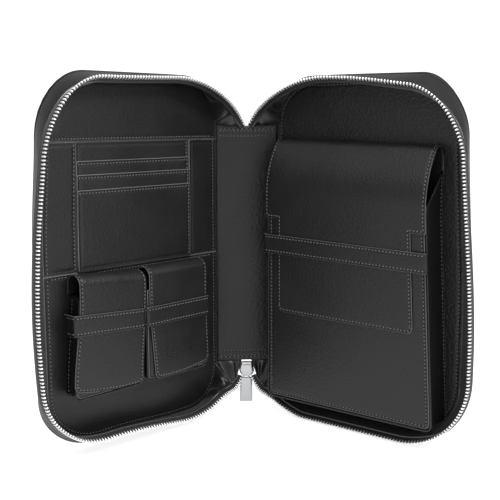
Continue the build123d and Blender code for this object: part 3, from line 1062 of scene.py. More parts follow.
TAPE_DROP = 4.6
chain_paths = {}
cloth_pieces = {}
for side in (LEFT, RIGHT):
    name = NAMES[side]
    path, height, outward, tangent = stations(side)
    chain_paths[side] = (path, height, outward)
    count = len(path)
    rim = path - TAPE_DROP * height
    window = web_window(count)

    inner_foot = foot_path(side, 0.3, 3.5, 0.5, {1: 6.4, -1: 3.6})
    normal_out = unit(np.cross(tangent, rim - inner_foot + 1e-6)) * -side
    flip = np.sign((normal_out * outward).sum(axis=1, keepdims=True))
    wall_out = unit(normal_out * flip + 0.35 * outward)
    folds = fold_field(count, WALL_ROWS, 3 + side)
    slack = -1.0 * window
    cloth = wall_grid(inner_foot, rim - 0.5 * outward, wall_out, slack)
    cloth += (folds * (0.85 * window[:, None] + 0.05))[:, :, None] * wall_out[:, None, :]
    liner = two_sided(
        f"{name}_wall_cloth", cloth, cloth - 0.45 * wall_out[:, None, :], satin_lining, None
    )
    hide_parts(f"{name}_wall_lining", f"{name}_top_web", f"{name}_foot_web")
    bend_with_hinge(liner, side)
    cloth_pieces[side] = (liner, cloth)

    outer_foot = foot_path(side, -2.9, 0.0, 2.6, {1: 6.4, -1: 3.6})
    skin = wall_grid(outer_foot, rim + 0.55 * outward, wall_out, 0.5 + 0.6 * window)
    t = np.linspace(0, 1, WALL_ROWS)
    bead = 0.45 * np.exp(-((t - 0.05) / 0.04) ** 2) - 0.25 * np.exp(-((t - 0.14) / 0.03) ** 2)
    skin += bead[None, :, None] * wall_out[:, None, :]
    skin += (0.12 * folds * window[:, None])[:, :, None] * wall_out[:, None, :]
    inner_skin = skin - 1.1 * wall_out[:, None, :]
    wall = two_sided(f"{name}_wall_leather", skin, inner_skin, calf_outer, None)
    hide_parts(f"{name}_wall")
    bend_with_hinge(wall, side)

    lip = sweep(
        f"{name}_rim_binding",
        rim,
        height,
        outward,
        tube_section(0.15, -0.1, 0.75, 1.35, 12),
        glazed_edge,
    )
    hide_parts(f"{name}_binding")
    bend_with_hinge(lip, side)

    tape_shape = [(0.2, -0.5), (2.8, -0.4), (3.5, -0.55), (4.3, -0.55), (4.6, 0.0)]
    tape_shape += [(4.3, 0.55), (3.5, 0.55), (2.8, 0.4), (0.2, 0.5)]
    tape = sweep(f"{name}_zip_cloth", rim, height, outward, tape_shape, zip_tape_cloth)
    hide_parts(f"{name}_zip_tape")
    bend_with_hinge(tape, side)
    run = float(np.linalg.norm(np.diff(path, axis=0), axis=1).sum())
    print(name, "zip half: %.0f mm long, %d stations" % (run, count))

# %% [markdown]
# ## The metal teeth
#
# Each tooth is a small casting clamped on the tape's corded edge: two legs, a waist, and a
# rounded head.  They sit 2.2 mm apart.  The right row is set half a pitch along, because the
# rows mesh when the case is closed.

# %% Teeth
TOOTH_PITCH = 2.23
TOOTH_LEVELS = (
    (-1.45, 0.38, 0.72),
    (-1.25, 0.52, 0.92),
    (-0.2, 0.56, 0.98),
    (0.65, 0.54, 0.94),
    (1.15, 0.44, 0.78),
    (1.55, 0.20, 0.40),
)
TOOTH_ROUND = 10


def tooth_row(side):
    """All the teeth of one side as one mesh."""
    path, height, outward = chain_paths[side]
    length = np.concatenate([[0.0], np.cumsum(np.linalg.norm(np.diff(path, axis=0), axis=1))])
    first = TOOTH_PITCH * (0.6 if side == LEFT else 1.1)
    places = np.arange(first, length[-1] - TOOTH_PITCH / 2, TOOTH_PITCH)
    spots, up, out = (read_at(places, length, values) for values in (path, height, outward))
    up, out = unit(up), unit(out)
    ahead = np.cross(up, out)
    turn = np.linspace(0, 2 * math.pi, TOOTH_ROUND, endpoint=False)
    cosine, sine = np.cos(turn), np.sin(turn)
    box_x = np.sign(cosine) * np.abs(cosine) ** 0.55
    box_y = np.sign(sine) * np.abs(sine) ** 0.55
    points, faces = [], []
    for k in range(len(spots)):
        base = len(points) * TOOTH_ROUND
        for h, half_along, half_out in TOOTH_LEVELS:
            ring = spots[k] + h * up[k] + half_along * box_x[:, None] * ahead[k]
            points.append(ring + half_out * box_y[:, None] * out[k])
        faces += tube_faces(len(TOOTH_LEVELS), TOOTH_ROUND, base)
    # The teeth's near-white nickel is a painted highlight.
    row = build(f"{NAMES[side]}_zip_row", np.concatenate(points), faces, tooth_nickel_painted_highlight, None)
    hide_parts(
        f"{NAMES[side]}_zip_teeth",
        f"{NAMES[side]}_top_zip_end",
        f"{NAMES[side]}_foot_zip_end",
    )
    bend_with_hinge(row, side)
    print(NAMES[side], "teeth:", len(spots))


for side in (LEFT, RIGHT):
    tooth_row(side)

# %% [markdown]
# ## Covers
#
# A cover is a sandwich: smooth calf outside, grey board, and a leather lining inside.  The
# outer leather is one panel with its edge turned over.  The lining is sewn all round, three
# millimetres inside its edge.

# %% Cover panels
OUTER_SHAPE = (0.5, 151.5, -120.0, 120.0, (29.0, 40.0, 40.0, 29.0))
BOARD_SHAPE = (2.4, 147.6, -116.2, 116.2, (28.0, 37.0, 37.0, 28.0))
LINING_SHAPE = (1.3, 147.9, -116.4, 116.4, (28.7, 36.5, 36.5, 28.7))
SEAM_SHAPE = (2.0, 147.9, -116.4, 116.4, (28.0, 36.5, 36.5, 28.0))
LINING_SEAM = 3.0

for side in (LEFT, RIGHT):
    name, cover = NAMES[side], COVERS[side]
    back = panel(
        f"{name}_outer_panel",
        flat_surface(side, -2.8, softness=0.05, outward=True),
        OUTER_SHAPE,
        1.2,
        calf_outer,
        cover,
        crown=0.35,
    )
    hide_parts(f"{name}_cover_leather")
    inside = panel(
        f"{name}_inner_panel",
        flat_surface(side, -0.8, softness=0.1, seed=side),
        LINING_SHAPE,
        0.8,
        nappa_grained,
        cover,
        seam=LINING_SEAM,
    )
    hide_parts(f"{name}_lining")
    stiff = panel(
        f"{name}_stiff_board",
        flat_surface(side, -2.75, softness=0.0),
        BOARD_SHAPE,
        1.9,
        board_card,
        cover,
    )
    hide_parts(f"{name}_board")

ring = outline(*SEAM_SHAPE, LINING_SEAM)
lining_face = flat_surface(RIGHT, 0.0, 0.1, RIGHT)
stitches("right_border_stitches", lining_face, ring, "right_cover", -0.16, closed=True)

# %% [markdown]
# ## The card side
#
# The left lining carries a set of thin panels: a top panel whose folded lower edge lies over the
# card slots, two side columns, three stepped slots and a lower panel that backs the pouches.
# Each slot is a folded edge with a row of stitches under it.  The layers differ by only 0.6 mm,
# and that step is what draws the fine shadow lines.

# %% Card side
PANEL_TOP = 1.2
CARD_LAYER = 0.6
TOP_EDGE = 76.7
LOWER_EDGE = -3.8
CARD_START, CARD_END = 27.8, 122.8
SLOT_TOPS = (65.0, 56.5, 47.0)
EDGE_SEAM = 2.0


def card_face(base):
    """A level of the card side, base above the lining; all levels share one unevenness."""
    return flat_surface(LEFT, base, 0.1, 1.0)


def layer(name, shape, base, thick, replaced, seam=EDGE_SEAM, material=nappa):
    """One flat layer on the left cover."""
    made = panel(name, card_face(base), shape, thick, material, "left_cover", seam)
    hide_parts(replaced)


SMALL_R = 0.7
CARD_START_U, CARD_END_U = 1.4, 147.9
STITCH_SINK = -0.14
square = (SMALL_R,) * 4
top_shape = (CARD_START_U, CARD_END_U, TOP_EDGE, 116.4, (SMALL_R, SMALL_R, 34.0, 28.6))
foot_shape = (CARD_START_U, CARD_END_U, -116.4, LOWER_EDGE, (28.6, 36.5, SMALL_R, SMALL_R))
outer_shape = (CARD_END, CARD_END_U, LOWER_EDGE, TOP_EDGE, square)
inner_shape = (CARD_START_U, CARD_START, LOWER_EDGE, TOP_EDGE, square)
backing_shape = (CARD_START, CARD_END, LOWER_EDGE, TOP_EDGE, square)
layer("card_top_panel", top_shape, 0.0, PANEL_TOP + 0.3, "top_panel")
layer("card_foot_panel", foot_shape, 0.0, PANEL_TOP, "lower_panel")
layer("card_outer_column", outer_shape, 0.0, PANEL_TOP + 0.05, "card_side_outer")
layer("card_inner_column", inner_shape, 0.0, PANEL_TOP - 0.05, "card_side_inner")
layer("card_backing", backing_shape, 0.0, CARD_LAYER, "card_back")
for number, top in enumerate(SLOT_TOPS, start=1):
    layer(
        f"card_pocket_{number}",
        (CARD_START + 0.05, CARD_END - 0.05, LOWER_EDGE, top, (SMALL_R, SMALL_R, 1.2, 1.2)),
        number * CARD_LAYER,
        CARD_LAYER,
        f"card_slot_{number}",
    )

sewn = card_face(PANEL_TOP)
loop = outline(*SEAM_SHAPE, LINING_SEAM)
stitches("left_border_stitches", sewn, loop, "left_cover", STITCH_SINK, closed=True)


def straight_row(name, surface, start, end):
    """A straight row of stitches on the card side."""
    stitches(name, surface, [start, end], "left_cover", STITCH_SINK)


level = TOP_EDGE + EDGE_SEAM
straight_row("top_edge_stitches", card_face(PANEL_TOP + 0.3), (8.0, level), (143.0, level))
level = LOWER_EDGE - EDGE_SEAM
straight_row("lower_edge_stitches", sewn, (8.0, level), (143.0, level))
place = CARD_END + EDGE_SEAM
straight_row("outer_column_stitches", sewn, (place, LOWER_EDGE + 1), (place, TOP_EDGE - 1))
stops = (TOP_EDGE - 1.0, *[top - 0.8 for top in SLOT_TOPS], LOWER_EDGE + 1.0)
for number, (high, low) in enumerate(zip(stops, stops[1:])):
    face = card_face((number + 1) * CARD_LAYER)
    place = CARD_START + EDGE_SEAM
    straight_row(f"inner_column_stitches_{number}", face, (place, high), (place, low))
    if number:
        level = high - EDGE_SEAM + 0.8
        ends = (CARD_START + 3.2, level), (CARD_END - 1.0, level)
        straight_row(f"card_pocket_stitches_{number}", face, *ends)

# %% [markdown]
# ## The spine
#
# The spine is a narrow board between two leathers.  Its lining bows a little, because it is a
# touch wider than the board, and it is held by two rows of stitches at each end.  On the
# outside a soft hinge strip joins it to each cover; it is built as it lies with the case open.

# %% Spine pieces
SPINE_ROWS = (3.8, 7.4)
SPINE_SIDE = 21.3
SPINE_STITCH_LIFT = 0.86


def spine_surface(a, b, lift=0.0):
    """The inner face of the spine; lift goes toward the opening."""
    a, b = np.broadcast_arrays(np.asarray(a, float), np.asarray(b, float))
    end = SPINE_HALF - np.abs(b)
    bow = 0.9 * (1 - (a / SPINE_SIDE) ** 2) * smooth((end - 8.0) / 14.0) + 0.12 * ripple(a, b, 0.4)
    for row in SPINE_ROWS:
        bow = bow - 0.28 * np.exp(-(((end - row) / 0.7) ** 2))
    return np.stack([a, SPINE_Y - (lift + bow - 0.1), MIDDLE + b], axis=-1)


def spine_back(a, b, lift=0.0):
    """The outer face of the spine; lift goes backward."""
    a, b = np.broadcast_arrays(np.asarray(a, float), np.asarray(b, float))
    crown = 0.5 * (1 - (a / SPINE_SIDE) ** 2)
    return np.stack([a, SPINE_Y + 2.4 + lift + crown, MIDDLE + b], axis=-1)


row_marks = [s * (SPINE_HALF - r) for s in (-1, 1) for r in SPINE_ROWS]
marks = [-SPINE_HALF, SPINE_HALF, *row_marks]
spine_b = fine_lines(-SPINE_HALF, SPINE_HALF, marks, 4.0, (0, 0.3, 0.7, 1.2, 1.7))
spine_a = fine_lines(-SPINE_SIDE, SPINE_SIDE, [-SPINE_SIDE, SPINE_SIDE], 2.5, (0, 0.3, 0.7, 1.2))
lining_strip = bent_sheet(
    "spine_inner_leather", spine_surface, spine_a, spine_b, 1.0, nappa_grained, "spine"
)
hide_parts("spine_lining")
wrap_strip = bent_sheet("spine_outer_leather", spine_back, spine_a, spine_b, 1.2, calf_outer, "spine")
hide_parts("spine_leather")
frame["nodes"]["spine_board"].data.materials.clear()
frame["nodes"]["spine_board"].data.materials.append(board_card)
for sign, end in ((1, "head"), (-1, "foot")):
    for number, inward in enumerate(SPINE_ROWS):
        b = sign * (SPINE_HALF - inward)
        row = [(-20.0, b), (20.0, b)]
        stitches(f"spine_{end}_stitches_{number}", spine_surface, row, "spine", SPINE_STITCH_LIFT)
    b = sign * (SPINE_HALF - 2.6)
    row = [(-20.0, b), (20.0, b)]
    stitches(
        f"spine_{end}_stitches_2", spine_surface, row, "spine", SPINE_STITCH_LIFT, pitch=3.1
    )

for side in (LEFT, RIGHT):
    levels = np.linspace(-SPINE_HALF - 3.6, SPINE_HALF + 3.6, 42)
    near = world(side * HINGE_NEAR_X, 3.45, 0)
    far = on_cover(side, 1.6, 0, -3.9)
    toward = unit(on_cover(side, 1, 0, 0) - on_cover(side, 0, 0, 0))
    curve = bezier(near, near + (side * 1.6, 0.1, 0), far - 1.4 * toward, far, 12)
    along_curve = unit(np.gradient(curve, axis=0))
    outside = unit(np.cross(along_curve, (0, 0, 1))) * side
    outer_face = curve[None, :, :] + np.array([0, 0, 1]) * levels[:, None, None]
    strip = two_sided(
        f"{NAMES[side]}_hinge_leather",
        outer_face + 0.25 * outside,
        outer_face - 0.55 * outside,
        calf_outer,
        None,
    )
    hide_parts(f"{NAMES[side]}_hinge_strip")
    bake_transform(strip)

tack = stitches(
    "head_bar_tack", spine_surface, [(-1.9, 85.2), (1.9, 85.2)], "spine", 0.95, pitch=0.7, slant=2.0
)
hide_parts("zip_stop")

# %% [markdown]
# ## Box pouches
#
# A box pouch is three parts: a gusset strip bent round two sides and the foot, a front panel
# sewn to it, and a strap over the front.  The gusset is soft, so it hollows between its seams.
# A flap is one sheet from its seam at the back, over the mouth, and down behind the strap.

# %% Pouch builders
POUCH_LEATHER = 1.2
STRAP_HEIGHT = 13.0


def gusset_path(u0, u1, foot, mouth, corner, inset):
    """Down one side, round the foot and up the other side, in (u, z)."""
    r = corner - inset
    a0, a1, b0 = u0 + inset, u1 - inset, foot + inset
    down = np.stack([np.full(22, a0), np.linspace(mouth, b0 + r, 22)], axis=-1)
    left_bend = arc((a0 + r, b0 + r), r, 180, 270, 8)
    right_bend = arc((a1 - r, b0 + r), r, 270, 360, 8)
    across = np.stack([np.linspace(a0 + r, a1 - r, 20), np.full(20, b0)], axis=-1)
    up = down[::-1] * (0, 1) + np.array([a1, 0])
    return joined([down, left_bend, across, right_bend, up])


def gusset(name, side, u0, u1, foot, mouth, depth, corner, hollow, replaced, lean, tuck=0.0):
    """The soft side strip of a pouch; tuck draws its outer back edge in under the pouch."""
    levels = [*np.linspace(1.2, depth - 1.6, 12), depth - 0.9, depth - 0.2, depth + 0.1]
    outer, inner = [], []
    for n in levels:
        t = (n - 1.2) / (depth - 1.2)
        sink = hollow * math.sin(math.pi * min(t, 1.0)) - 0.5 * (t > 0.97)
        sink += 0.35 * max(0.0, (n - depth + 0.6))
        path = gusset_path(u0, u1, foot, mouth(n), corner, max(sink, -0.5) + 0.02)
        within = gusset_path(u0, u1, foot, mouth(n), corner, sink + POUCH_LEATHER)
        for line, kept in ((path, outer), (within, inner)):
            drawn = tuck * (1 - min(t, 1.0)) * smooth((line[:, 0] - u0) / (u1 - u0) * 2 - 1)
            moved, level = lean(line[:, 0], line[:, 1])
            kept.append(on_cover(side, moved - drawn, level, n))
    made = two_sided(name, np.array(outer), np.array(inner), nappa, COVERS[side])
    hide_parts(replaced)
    return made


def gusset_surface(side, u0, u1, foot, mouth, corner, lean, tuck=0.0):
    """For stitches: a runs along the gusset's outer path, b is the depth."""
    path = gusset_path(u0, u1, foot, mouth, corner, 0.0)
    path, length = along(path)

    def surface(a, b, lift=0.0):
        a = np.asarray(a, float)
        u, z = (np.interp(a, length, path[:, k]) for k in (0, 1))
        du, dz = heading_at(a, length, path)
        moved, level = lean(u, z)
        moved = moved - tuck * smooth((u - u0) / (u1 - u0) * 2 - 1)
        return on_cover(side, moved + lift * dz, level - lift * du, b)

    return surface, length[-1]


def strap_surface(side, u0, u1, depth, back, lean, gap=0.3):
    """The inner face of a strap: a runs along it, 0 at its middle, b is z."""
    inside = depth + 1.6
    points = [(u0 - gap, back), (u0 - gap, inside), (u1 + gap, inside), (u1 + gap, back)]
    points, length = along(points)
    fine = np.arange(0, length[-1], 0.3)
    curve = eased(read_at(fine, length, points), 7)
    fine = fine - length[-1] / 2

    def surface(a, b, lift=0.0):
        a, b = np.broadcast_arrays(np.asarray(a, float), np.asarray(b, float))
        u, n = (np.interp(a, fine, curve[:, k]) for k in (0, 1))
        du, dn = heading_at(a, fine, curve)
        raised = lift + 0.1 * ripple(a, b, 0.9)
        moved, level = lean(u, b)
        return on_cover(side, moved - raised * dn, level, n + raised * du)

    return surface, length[-1] / 2


def strap(name, side, u0, u1, top, depth, back, replaced, lean):
    """A strap with a row of stitches along both edges; its ends turn back to depth back."""
    surface, reach = strap_surface(side, u0, u1, depth, back, lean)
    half_front = (u1 - u0) / 2
    marks = [-half_front, half_front]
    a_lines = fine_lines(-reach, reach, [-reach, reach, *marks], 3.0, (0, 0.3, 0.7, 1.2, 1.8))
    b_lines = fine_lines(top - STRAP_HEIGHT, top, [top - STRAP_HEIGHT, top], 1.6)
    made = bent_sheet(name, surface, a_lines, b_lines, 1.0, nappa, COVERS[side], seam=1.8)
    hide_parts(replaced)
    for number, b in enumerate((top - 1.8, top - STRAP_HEIGHT + 1.8)):
        row = [(-reach + 2.5, b), (reach - 2.5, b)]
        stitches(f"{name}_stitches_{number}", surface, row, COVERS[side], 0.86)
    return made


# %% [markdown]
# ## The two small pouches
#
# These sit side by side on the left cover.  The flap's foot is cut in a shallow curve.  The
# inner flap hangs a little askew, as worn leather does, with its foot swung toward the spine.

# %% Small pouches
SMALL_FOOT, SMALL_MOUTH, SMALL_DEPTH = -81.8, -20.0, 14.0
SMALL_FLAP_FOOT = {1: -79.7, 2: -81.2}
SMALL_FLAP_TILT = {1: 2.7, 2: -1.6}
SMALL_LEAN = {1: drawn_in, 2: upright}
SMALL_TUCK = {1: 2.6, 2: 0.0}
SMALL_STRAP_TOP = {1: -29.0, 2: -31.0}
SMALL_STRAP_BACK = 6.0
STRAP_LEAN = {1: tilted, 2: upright}
FLAP_SEAM = 1.8

turn = np.radians(np.linspace(0, 180, 22))
small_section = [(8.25 + 6.05 * math.cos(t), -11.8 + 6.05 * math.sin(t)) for t in turn]
small_section += [(2.2, -18.6)]


def corner_rise(distance, radius):
    """How far a rounded corner lifts the border, at a distance from the side edge."""
    near = np.clip(radius - distance, 0, radius)
    return radius - np.sqrt(np.maximum(radius**2 - near**2, 0))


for number, (u0, u1) in SMALL.items():
    name = f"small_pouch_{number}"
    lean, tuck, flap_foot = SMALL_LEAN[number], SMALL_TUCK[number], SMALL_FLAP_FOOT[number]
    gusset(
        f"{name}_side_strip",
        LEFT,
        u0,
        u1,
        SMALL_FOOT,
        lambda n: SMALL_MOUTH + 1.5 * math.sin(n / 4.0),
        SMALL_DEPTH,
        4.0,
        1.3,
        f"{name}_gusset",
        lean,
        tuck,
    )
    front = panel(
        f"{name}_front_panel",
        flat_surface(LEFT, SMALL_DEPTH - 1.3, 0.05, number, lean=lean),
        (u0 + 1.3, u1 - 1.3, SMALL_FOOT + 1.3, SMALL_MOUTH, (3.0, 3.0, 1.0, 1.0)),
        POUCH_LEATHER,
        nappa,
        "left_cover",
        seam=1.8,
    )
    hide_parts(f"{name}_front")
    strap(
        f"{name}_strap_band",
        LEFT,
        u0,
        u1,
        SMALL_STRAP_TOP[number],
        SMALL_DEPTH,
        SMALL_STRAP_BACK,
        f"{name}_strap",
        STRAP_LEAN[number],
    )
    side_surface, reach = gusset_surface(LEFT, u0, u1, SMALL_FOOT, SMALL_MOUTH, 4.0, lean, tuck)
    row = [(1.0, 3.0), (reach - 1.0, 3.0)]
    stitches(f"{name}_side_stitches", side_surface, row, "left_cover", 0.0)

    middle, half = (u0 + u1) / 2, (u1 - u0) / 2

    small_profile = section([(SMALL_DEPTH + 0.3, flap_foot)] + small_section)
    tilt = SMALL_FLAP_TILT[number]

    def foot_line(a, inset=0.0):
        """How far the flap's foot rises along its width."""
        x = (a - middle) / half
        corner = corner_rise(half - inset - np.abs(a - middle), 4.0 - 0.8 * inset)
        return 1.8 * x**2 + tilt * x + corner

    def small_warp(a, b):
        return a, b + foot_line(a) * np.clip(1 - (b - flap_foot) / 14.0, 0, 1)

    def hanging(a, z):
        """The inner flap hangs askew, its foot swung toward the spine."""
        swing = (1.8 + 1.7 * (a - u0) / 54.0) * np.clip((-34.0 - z) / 38.0, 0, 1.2)
        moved, level = lean(a, z)
        share = (a - u0) / (u1 - u0)
        if number == 2:
            return moved - swing - 2.3 * share, level
        return moved + 1.3 * share * (1 - smooth((z + 80.0) / 50.0)), level

    surface = profile_surface(LEFT, small_profile, 0.12, number, hanging)
    places = small_profile[0]
    a_lines = fine_lines(u0, u1, [u0, u1], 2.4)
    b_lines = fine_lines(places[0], places[-1], [places[0]], 1.5)
    flap = bent_sheet(
        f"{name}_flap_leather", surface, a_lines, b_lines, 1.0, nappa, None, FLAP_SEAM, warp=small_warp
    )
    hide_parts(f"{name}_flap", f"{name}_flap_fold")
    left_edge = [(u0 + FLAP_SEAM, b) for b in np.linspace(places[-1] - 6, flap_foot + 7, 40)]
    foot_a = np.linspace(u0 + FLAP_SEAM, u1 - FLAP_SEAM, 30)
    foot_edge = list(zip(foot_a, flap_foot + FLAP_SEAM + foot_line(foot_a, FLAP_SEAM)))
    right_edge = [(u1 - FLAP_SEAM, b) for b in np.linspace(flap_foot + 7, places[-1] - 6, 40)]
    thread_row = stitches(
        f"{name}_flap_stitches", surface, left_edge + foot_edge + right_edge, None, 0.84
    )
    for piece in (flap, thread_row):
        start = on_cover(LEFT, middle, 0, 2.4) * TO_METRES
        end = on_cover(LEFT, middle, 0, SMALL_DEPTH) * TO_METRES
        tuple(end)
        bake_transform(piece)

# %% [markdown]
# ## The large pouch
#
# The right cover carries one tall box pouch.  Its flap rises from the front in a long curve to
# the back, leaving an opening at each side above the gusset.  The flap is stepped: below the
# step a narrower tongue goes behind the strap and shows again under it.

# %% Large pouch
LARGE_FOOT, LARGE_DEPTH = -105.2, 24.0
LARGE_STRAP_TOP = 10.2
FLAP_STEP, TONGUE_FOOT, TONGUE_INSET = 21.6, -43.0, 10.8
CURVE_FOOT, CURVE_RISE, CURVE_DROP = 38.0, 34.5, 12.5
CURVE_TOP = CURVE_FOOT + CURVE_RISE

u0, u1 = LARGE_U
FRONT_SHAPE = (u0 + 1.4, u1 - 1.4, LARGE_FOOT + 1.4, 40.0, (3.8, 3.8, 1.0, 1.0))


def large_mouth(n):
    """The gusset's scooped upper edge."""
    t = min(max((n - 1.2) / 22.8, 0.0), 1.0)
    return 39.0 + 21.0 * (1 - t) ** 1.5


gusset(
    "large_pouch_side_strip",
    RIGHT,
    u0,
    u1,
    LARGE_FOOT,
    large_mouth,
    LARGE_DEPTH,
    5.0,
    0.5,
    "large_pouch_gusset",
    leaning,
)
front = panel(
    "large_pouch_front_panel",
    flat_surface(RIGHT, LARGE_DEPTH - 1.35, 0.08, 2.0, lean=leaning),
    FRONT_SHAPE,
    POUCH_LEATHER,
    nappa,
    "right_cover",
    seam=2.0,
)
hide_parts("large_pouch_front")
back = panel(
    "large_pouch_back_panel",
    flat_surface(RIGHT, 0.0, 0.05, 2.0, lean=leaning),
    (u0, u1, LARGE_FOOT, CURVE_TOP - 2.0, (4.0, 4.0, 2.0, 2.0)),
    1.0,
    nappa,
    "right_cover",
)
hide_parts("large_pouch_back")
ring = outline(*FRONT_SHAPE, 2.0)
front_face = flat_surface(RIGHT, LARGE_DEPTH - 0.15, 0.08, 2.0, lean=leaning)
stitches("large_pouch_front_stitches", front_face, ring, "right_cover", -0.16, closed=True)
side_surface, reach = gusset_surface(RIGHT, u0, u1, LARGE_FOOT, large_mouth(3.0), 5.0, leaning)
row = [(1.0, 3.2), (reach - 1.0, 3.2)]
stitches("large_pouch_side_stitches", side_surface, row, "right_cover", 0.0)
strap(
    "large_pouch_strap_band",
    RIGHT,
    u0 + 0.6,
    u1 - 0.6,
    LARGE_STRAP_TOP,
    LARGE_DEPTH,
    LARGE_DEPTH - 0.2,
    "large_pouch_strap",
    spread,
)

inner_n = LARGE_DEPTH + 0.3
large_section = [(inner_n, TONGUE_FOOT), (inner_n, CURVE_FOOT)]
rises = np.linspace(0, 1, 40)[1:]
large_section += [(inner_n - CURVE_DROP * f**2.1, CURVE_FOOT + CURVE_RISE * f) for f in rises]
crest = inner_n - CURVE_DROP
over = bezier(
    np.array([crest, CURVE_TOP]),
    np.array([crest - 3.4, CURVE_TOP + 4.4]),
    np.array([2.2, CURVE_TOP + 2.5]),
    np.array([2.2, CURVE_TOP - 4.0]),
    20,
)
large_section += [tuple(p) for p in over[1:]] + [(2.2, CURVE_TOP - 9.0)]
large_profile = section(large_section)
places = large_profile[0]
tongue = (u0 + TONGUE_INSET, u1 - TONGUE_INSET)


def large_keep(a, b):
    """Cells of the stepped flap."""
    return (b > FLAP_STEP) | ((a > tongue[0]) & (a < tongue[1]))


def large_warp(a, b):
    """Rounded corners at the tongue's foot and at the step."""
    from_tongue = np.minimum(a - tongue[0], tongue[1] - a)
    from_side = np.minimum(a - u0, u1 - a)
    inside = from_tongue >= -1e-6
    foot = np.where(inside, corner_rise(from_tongue, 4.5), 0.0)
    foot = foot * np.clip(1 - (b - TONGUE_FOOT) / 9.0, 0, 1)
    step = np.where(inside, 0.0, corner_rise(from_side, 1.6))
    step = step * np.clip(1 - np.abs(b - FLAP_STEP) / 4.0, 0, 1)
    return a, b + foot + step


surface = profile_surface(RIGHT, large_profile, 0.2, 4.0, spread)
a_lines = fine_lines(u0, u1, [u0, u1, *tongue], 3.0)
b_lines = fine_lines(places[0], places[-1], [places[0], FLAP_STEP, places[-1]], 2.0)
large_flap = bent_sheet(
    "large_pouch_flap_leather",
    surface,
    a_lines,
    b_lines,
    1.0,
    nappa,
    None,
    FLAP_SEAM,
    keep=large_keep,
    warp=large_warp,
)
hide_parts("large_pouch_flap", "large_pouch_flap_fold")
s = FLAP_SEAM
edge = [(u0 + s, b) for b in np.linspace(places[-1] - 9, FLAP_STEP + s, 30)]
edge += [(tongue[0] + s, FLAP_STEP + s)]
edge += [(tongue[0] + s, b) for b in np.linspace(FLAP_STEP - 1, TONGUE_FOOT + 4, 30)]
corner = arc((tongue[0] + s + 2.7, TONGUE_FOOT + s + 2.7), 2.7, 180, 270, 6)
edge += [tuple(p) for p in corner]
edge += [(u0 + u1 - a, b) for a, b in edge[::-1]]
large_thread = stitches("large_pouch_flap_stitches", surface, edge, None, 0.84)
for piece in (large_flap, large_thread):
    start = on_cover(RIGHT, 75, 0, 2.6) * TO_METRES
    end = on_cover(RIGHT, 75, 0, LARGE_DEPTH) * TO_METRES
    tuple(end)
    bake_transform(piece)

# %% [markdown]
# ## Slider and pull tab
#
# The slider is cast zinc, plated with bright nickel: a crowned front plate, narrow at its
# shoulder and rounded at its foot, a back plate and a small bridge.  The pull tab hangs from the
# bridge by a loop, and its long edges are bevelled, so that they catch light as two lines.

# %% Slider and tab
SLIDER_HALF = [(3.7, -87.6), (4.15, -88.2), (4.9, -90.6), (5.4, -93.4), (5.35, -94.3), (4.6, -95.9)]
SLIDER_HALF += [(3.3, -97.2), (1.7, -97.9), (0.0, -98.0)]
SLIDER_MIDDLE = -93.0
CORE_MIDDLE, CORE_SHARE = -92.0, 0.2


def plate_outline(half, count=64):
    """A closed outline from its right half, resampled and lightly smoothed."""
    half = np.asarray(half, float)
    whole = np.concatenate([half, half[-2::-1] * (-1, 1)])
    return resample(whole, along(whole, True)[1][-1] / count, closed=True)


def upright_ring(x, y, z):
    """Points of a path beside the spine; x, y and z are numbers or arrays."""
    return np.stack(np.broadcast_arrays(x, SPINE_Y + y, MIDDLE + z), axis=-1)


def lens(name, flat, centre_z, levels, material, body):
    """A solid with a flat outline in x and z; levels are (shrink mm, y)."""
    centre = np.array([0.0, centre_z])
    loops = []
    for shrink, y in levels:
        offset = flat - centre
        size = np.linalg.norm(offset, axis=1, keepdims=True)
        ring = centre + offset * np.maximum(1 - shrink / size, 0.02)
        loops.append(upright_ring(ring[:, 0], y, ring[:, 1]))
    return rings(name, loops, material, body)


flat = plate_outline(SLIDER_HALF)
slider_front = lens(
    "slider_front_plate",
    flat,
    SLIDER_MIDDLE,
    [(0.4, -2.2), (0.0, -2.45), (0.0, -2.95), (0.3, -3.3), (1.0, -3.55), (2.2, -3.75), (4.2, -3.85)],
    nickel,
    "spine",
)
lens(
    "slider_back_plate",
    flat,
    SLIDER_MIDDLE,
    [(0.4, 1.4), (0.0, 1.6), (0.0, 2.1), (0.3, 2.35), (1.2, 2.45)],
    nickel,
    "spine",
)
core_flat = CORE_SHARE * (flat - (0, SLIDER_MIDDLE)) + (0, CORE_MIDDLE)
lens("slider_core", core_flat, CORE_MIDDLE, [(0.0, -2.4), (0.0, 1.8)], nickel, "spine")
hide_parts("slider_body")
turn = np.linspace(0, math.pi, 24)
arch = upright_ring(0.0, 2.0 + 2.9 * np.sin(turn), -92.8 + 3.6 * np.cos(turn))
tangent = unit(np.gradient(arch, axis=0))
across = np.tile([1.0, 0.0, 0.0], (len(arch), 1))
bar = tube_section(0, 0, 1.5, 0.4, 16)
bridge = sweep("slider_bridge_loop", arch, across, np.cross(tangent, across), bar, nickel)
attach(bridge, "spine")
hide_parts("slider_bridge")

